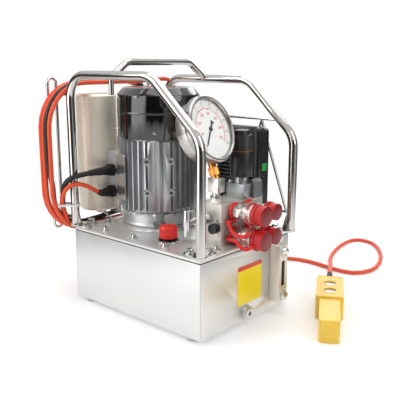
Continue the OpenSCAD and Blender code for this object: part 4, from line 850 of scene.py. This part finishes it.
run = metres((-180, 52, 414), (-172, 72, 416), (-163, 94, 418), (-155, 112, 419), (-151, 127, 416.5),
             (-149, 139, 401), (-149, 147, 352), (-148, 150, 270), (-146, 152, 190), (-138, 158, 115),
             (-118, 182, 48), (-84, 236, 9), (-40, 303, 4.3), (14, 347, 4.3), (68, 361, 4.3),
             (130, 352, 4.3), (178, 356, 4.3), (201, 396, 4.3), (192, 458, 4.3), (160, 530, 4.3),
             (110, 592, 4.3), (66, 598, 4.3), (54, 556, 4.3), (66, 484, 4.3), (90, 416, 5),
             (126, 352, 14), (152, 305, 24), (173, 266, 31), (185, 244.8, 32))
back = [rack_point(s / 1000, SLOT_D) for s in range(960, 504, -17)]
free = back + smooth_route(run, 2)
remote_free = cord_piece("remote_cord_free", free, REMOTE_D, orange)
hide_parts("remote_run")

mains = metres((-143, -72, 247.5), (-145, -88, 247.5), (-149, -107, 246), (-155, -124, 243),
               (-165, -133, 236), (-176, -135, 222), (-184, -132, 205), (-191, -129, 186),
               (-194, -124, 168))
wound = []
s = -0.040
while s < LAP + FLAT - 0.002:
    x = SLOT_C - 0.0100 * eased(s, LAP - 0.15, LAP - 0.07) - 0.0150 * eased(s, LAP, LAP + FLAT)
    wound.append(rack_point(s, x, -INSIDE * eased(s, LAP - 0.20, LAP - 0.12)))
    s += step
tail = metres((-219.5, 62, 139.5), (-221.5, 76, 137.7), (-220.5, 90, 132.6), (-216.5, 101.5, 122.7),
              (-211.5, 108, 110.5), (-209, 110, 98))
cord = smooth_route(mains, 2) + wound + smooth_route(tail, 2)
mains_cord = cord_piece("mains_cord", cord, MAINS_D, black_sheath)
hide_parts("mains_lead")
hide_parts("mains_coil")
dress("mains_plug", moulded_black, 0.0008)


def sleeve(name, points, diameter, long=0.021, sides=20):
    """A tapered strain relief round the first part of a cord."""
    kept, gone = [points[0]], 0.0
    for one, other in zip(points, points[1:]):
        gone += (other - one).length
        kept.append(other)
        if gone > long:
            break
    shape, rings, last = bmesh.new(), [], len(kept) - 1
    side = (kept[1] - kept[0]).orthogonal()
    for i, place in enumerate(kept):
        along = (kept[min(i + 1, last)] - kept[max(i - 1, 0)]).normalized()
        side = (side - along * side.dot(along)).normalized()
        other = along.cross(side)
        r = diameter * (0.78 - 0.20 * i / last)
        rings.append([shape.verts.new(place + r * (math.cos(a) * side + math.sin(a) * other))
                      for a in (2 * math.pi * k / sides for k in range(sides))])
    for ring, following in zip(rings, rings[1:]):
        for k in range(sides):
            shape.faces.new((ring[k - 1], ring[k], following[k], following[k - 1]))
    shape.faces.new(rings[0])
    shape.faces.new(rings[-1])
    piece(name, shape, moulded_black)


sleeve("remote_gland_relief", smooth_route(lead, 6), REMOTE_D, 0.008)
sleeve("mains_gland_relief", smooth_route(mains, 4), MAINS_D)
sleeve("mains_plug_relief", smooth_route(tail, 6)[::-1], MAINS_D)

# White nylon ties, each a strap pulled through its lock: one holds both leads to the near hoop, and
# two hold the wound cords together.
nylon = finish("nylon_tie", srgb(240, 240, 238), 0.35, shade=0.05)
STRAP, STRAP_W, STRAP_STEPS = 0.0012, 0.0046, 64


def tie(name, rounds, place, head):
    """A tie pulled round a bundle. rounds are (u, v, radius); place turns (u, v, w) into a point, w
    along the bundle; head is the direction of its lock, in radians."""
    shape = bmesh.new()
    loops = []
    for k in range(STRAP_STEPS):
        a = 2 * math.pi * k / STRAP_STEPS
        c, d = math.cos(a), math.sin(a)
        u, v, r = max(rounds, key=lambda one: one[0] * c + one[1] * d + one[2])
        loops.append([shape.verts.new(place(u + (r + grow) * c, v + (r + grow) * d, w)) for grow, w in (
            (0, -STRAP_W / 2), (STRAP, -STRAP_W / 2), (STRAP, STRAP_W / 2), (0, STRAP_W / 2))])
    for one, other in zip(loops, loops[1:] + loops[:1]):
        for k in range(4):
            shape.faces.new((one[k], one[k - 1], other[k - 1], other[k]))
    c, d = math.cos(head), math.sin(head)
    u, v, r = max(rounds, key=lambda one: one[0] * c + one[1] * d + one[2])
    lock = [shape.verts.new(place(u + (r + out) * c - side * d, v + (r + out) * d + side * c, w))
            for out in (0.0006, 0.0052) for side in (-0.0032, 0.0032) for w in (-0.0034, 0.0034)]
    bmesh.ops.convex_hull(shape, input=lock)
    piece(name, shape, nylon)


tie("tie_near_leg", [(-0.168, -0.117, 0.0087), (-0.1805, -0.138, 0.0046), (-0.191, -0.129, 0.0053)],
    lambda u, v, w: Vector((u, v, 0.186 + w)), math.radians(-100))
BUNDLE = [(SLOT_A, 0.0, REMOTE_D / 2), (SLOT_B, 0.0, REMOTE_D / 2), (SLOT_C, 0.0, MAINS_D / 2),
          (SLOT_D, 0.0, REMOTE_D / 2)]
for side, s, more in (("bottom", 0.060, [(-0.2107, -INSIDE, MAINS_D / 2)]), ("right", 0.375, [])):
    tie("tie_coil_" + side, BUNDLE + more, lambda u, v, w: rack_point(s + w, u, v), math.radians(-90))
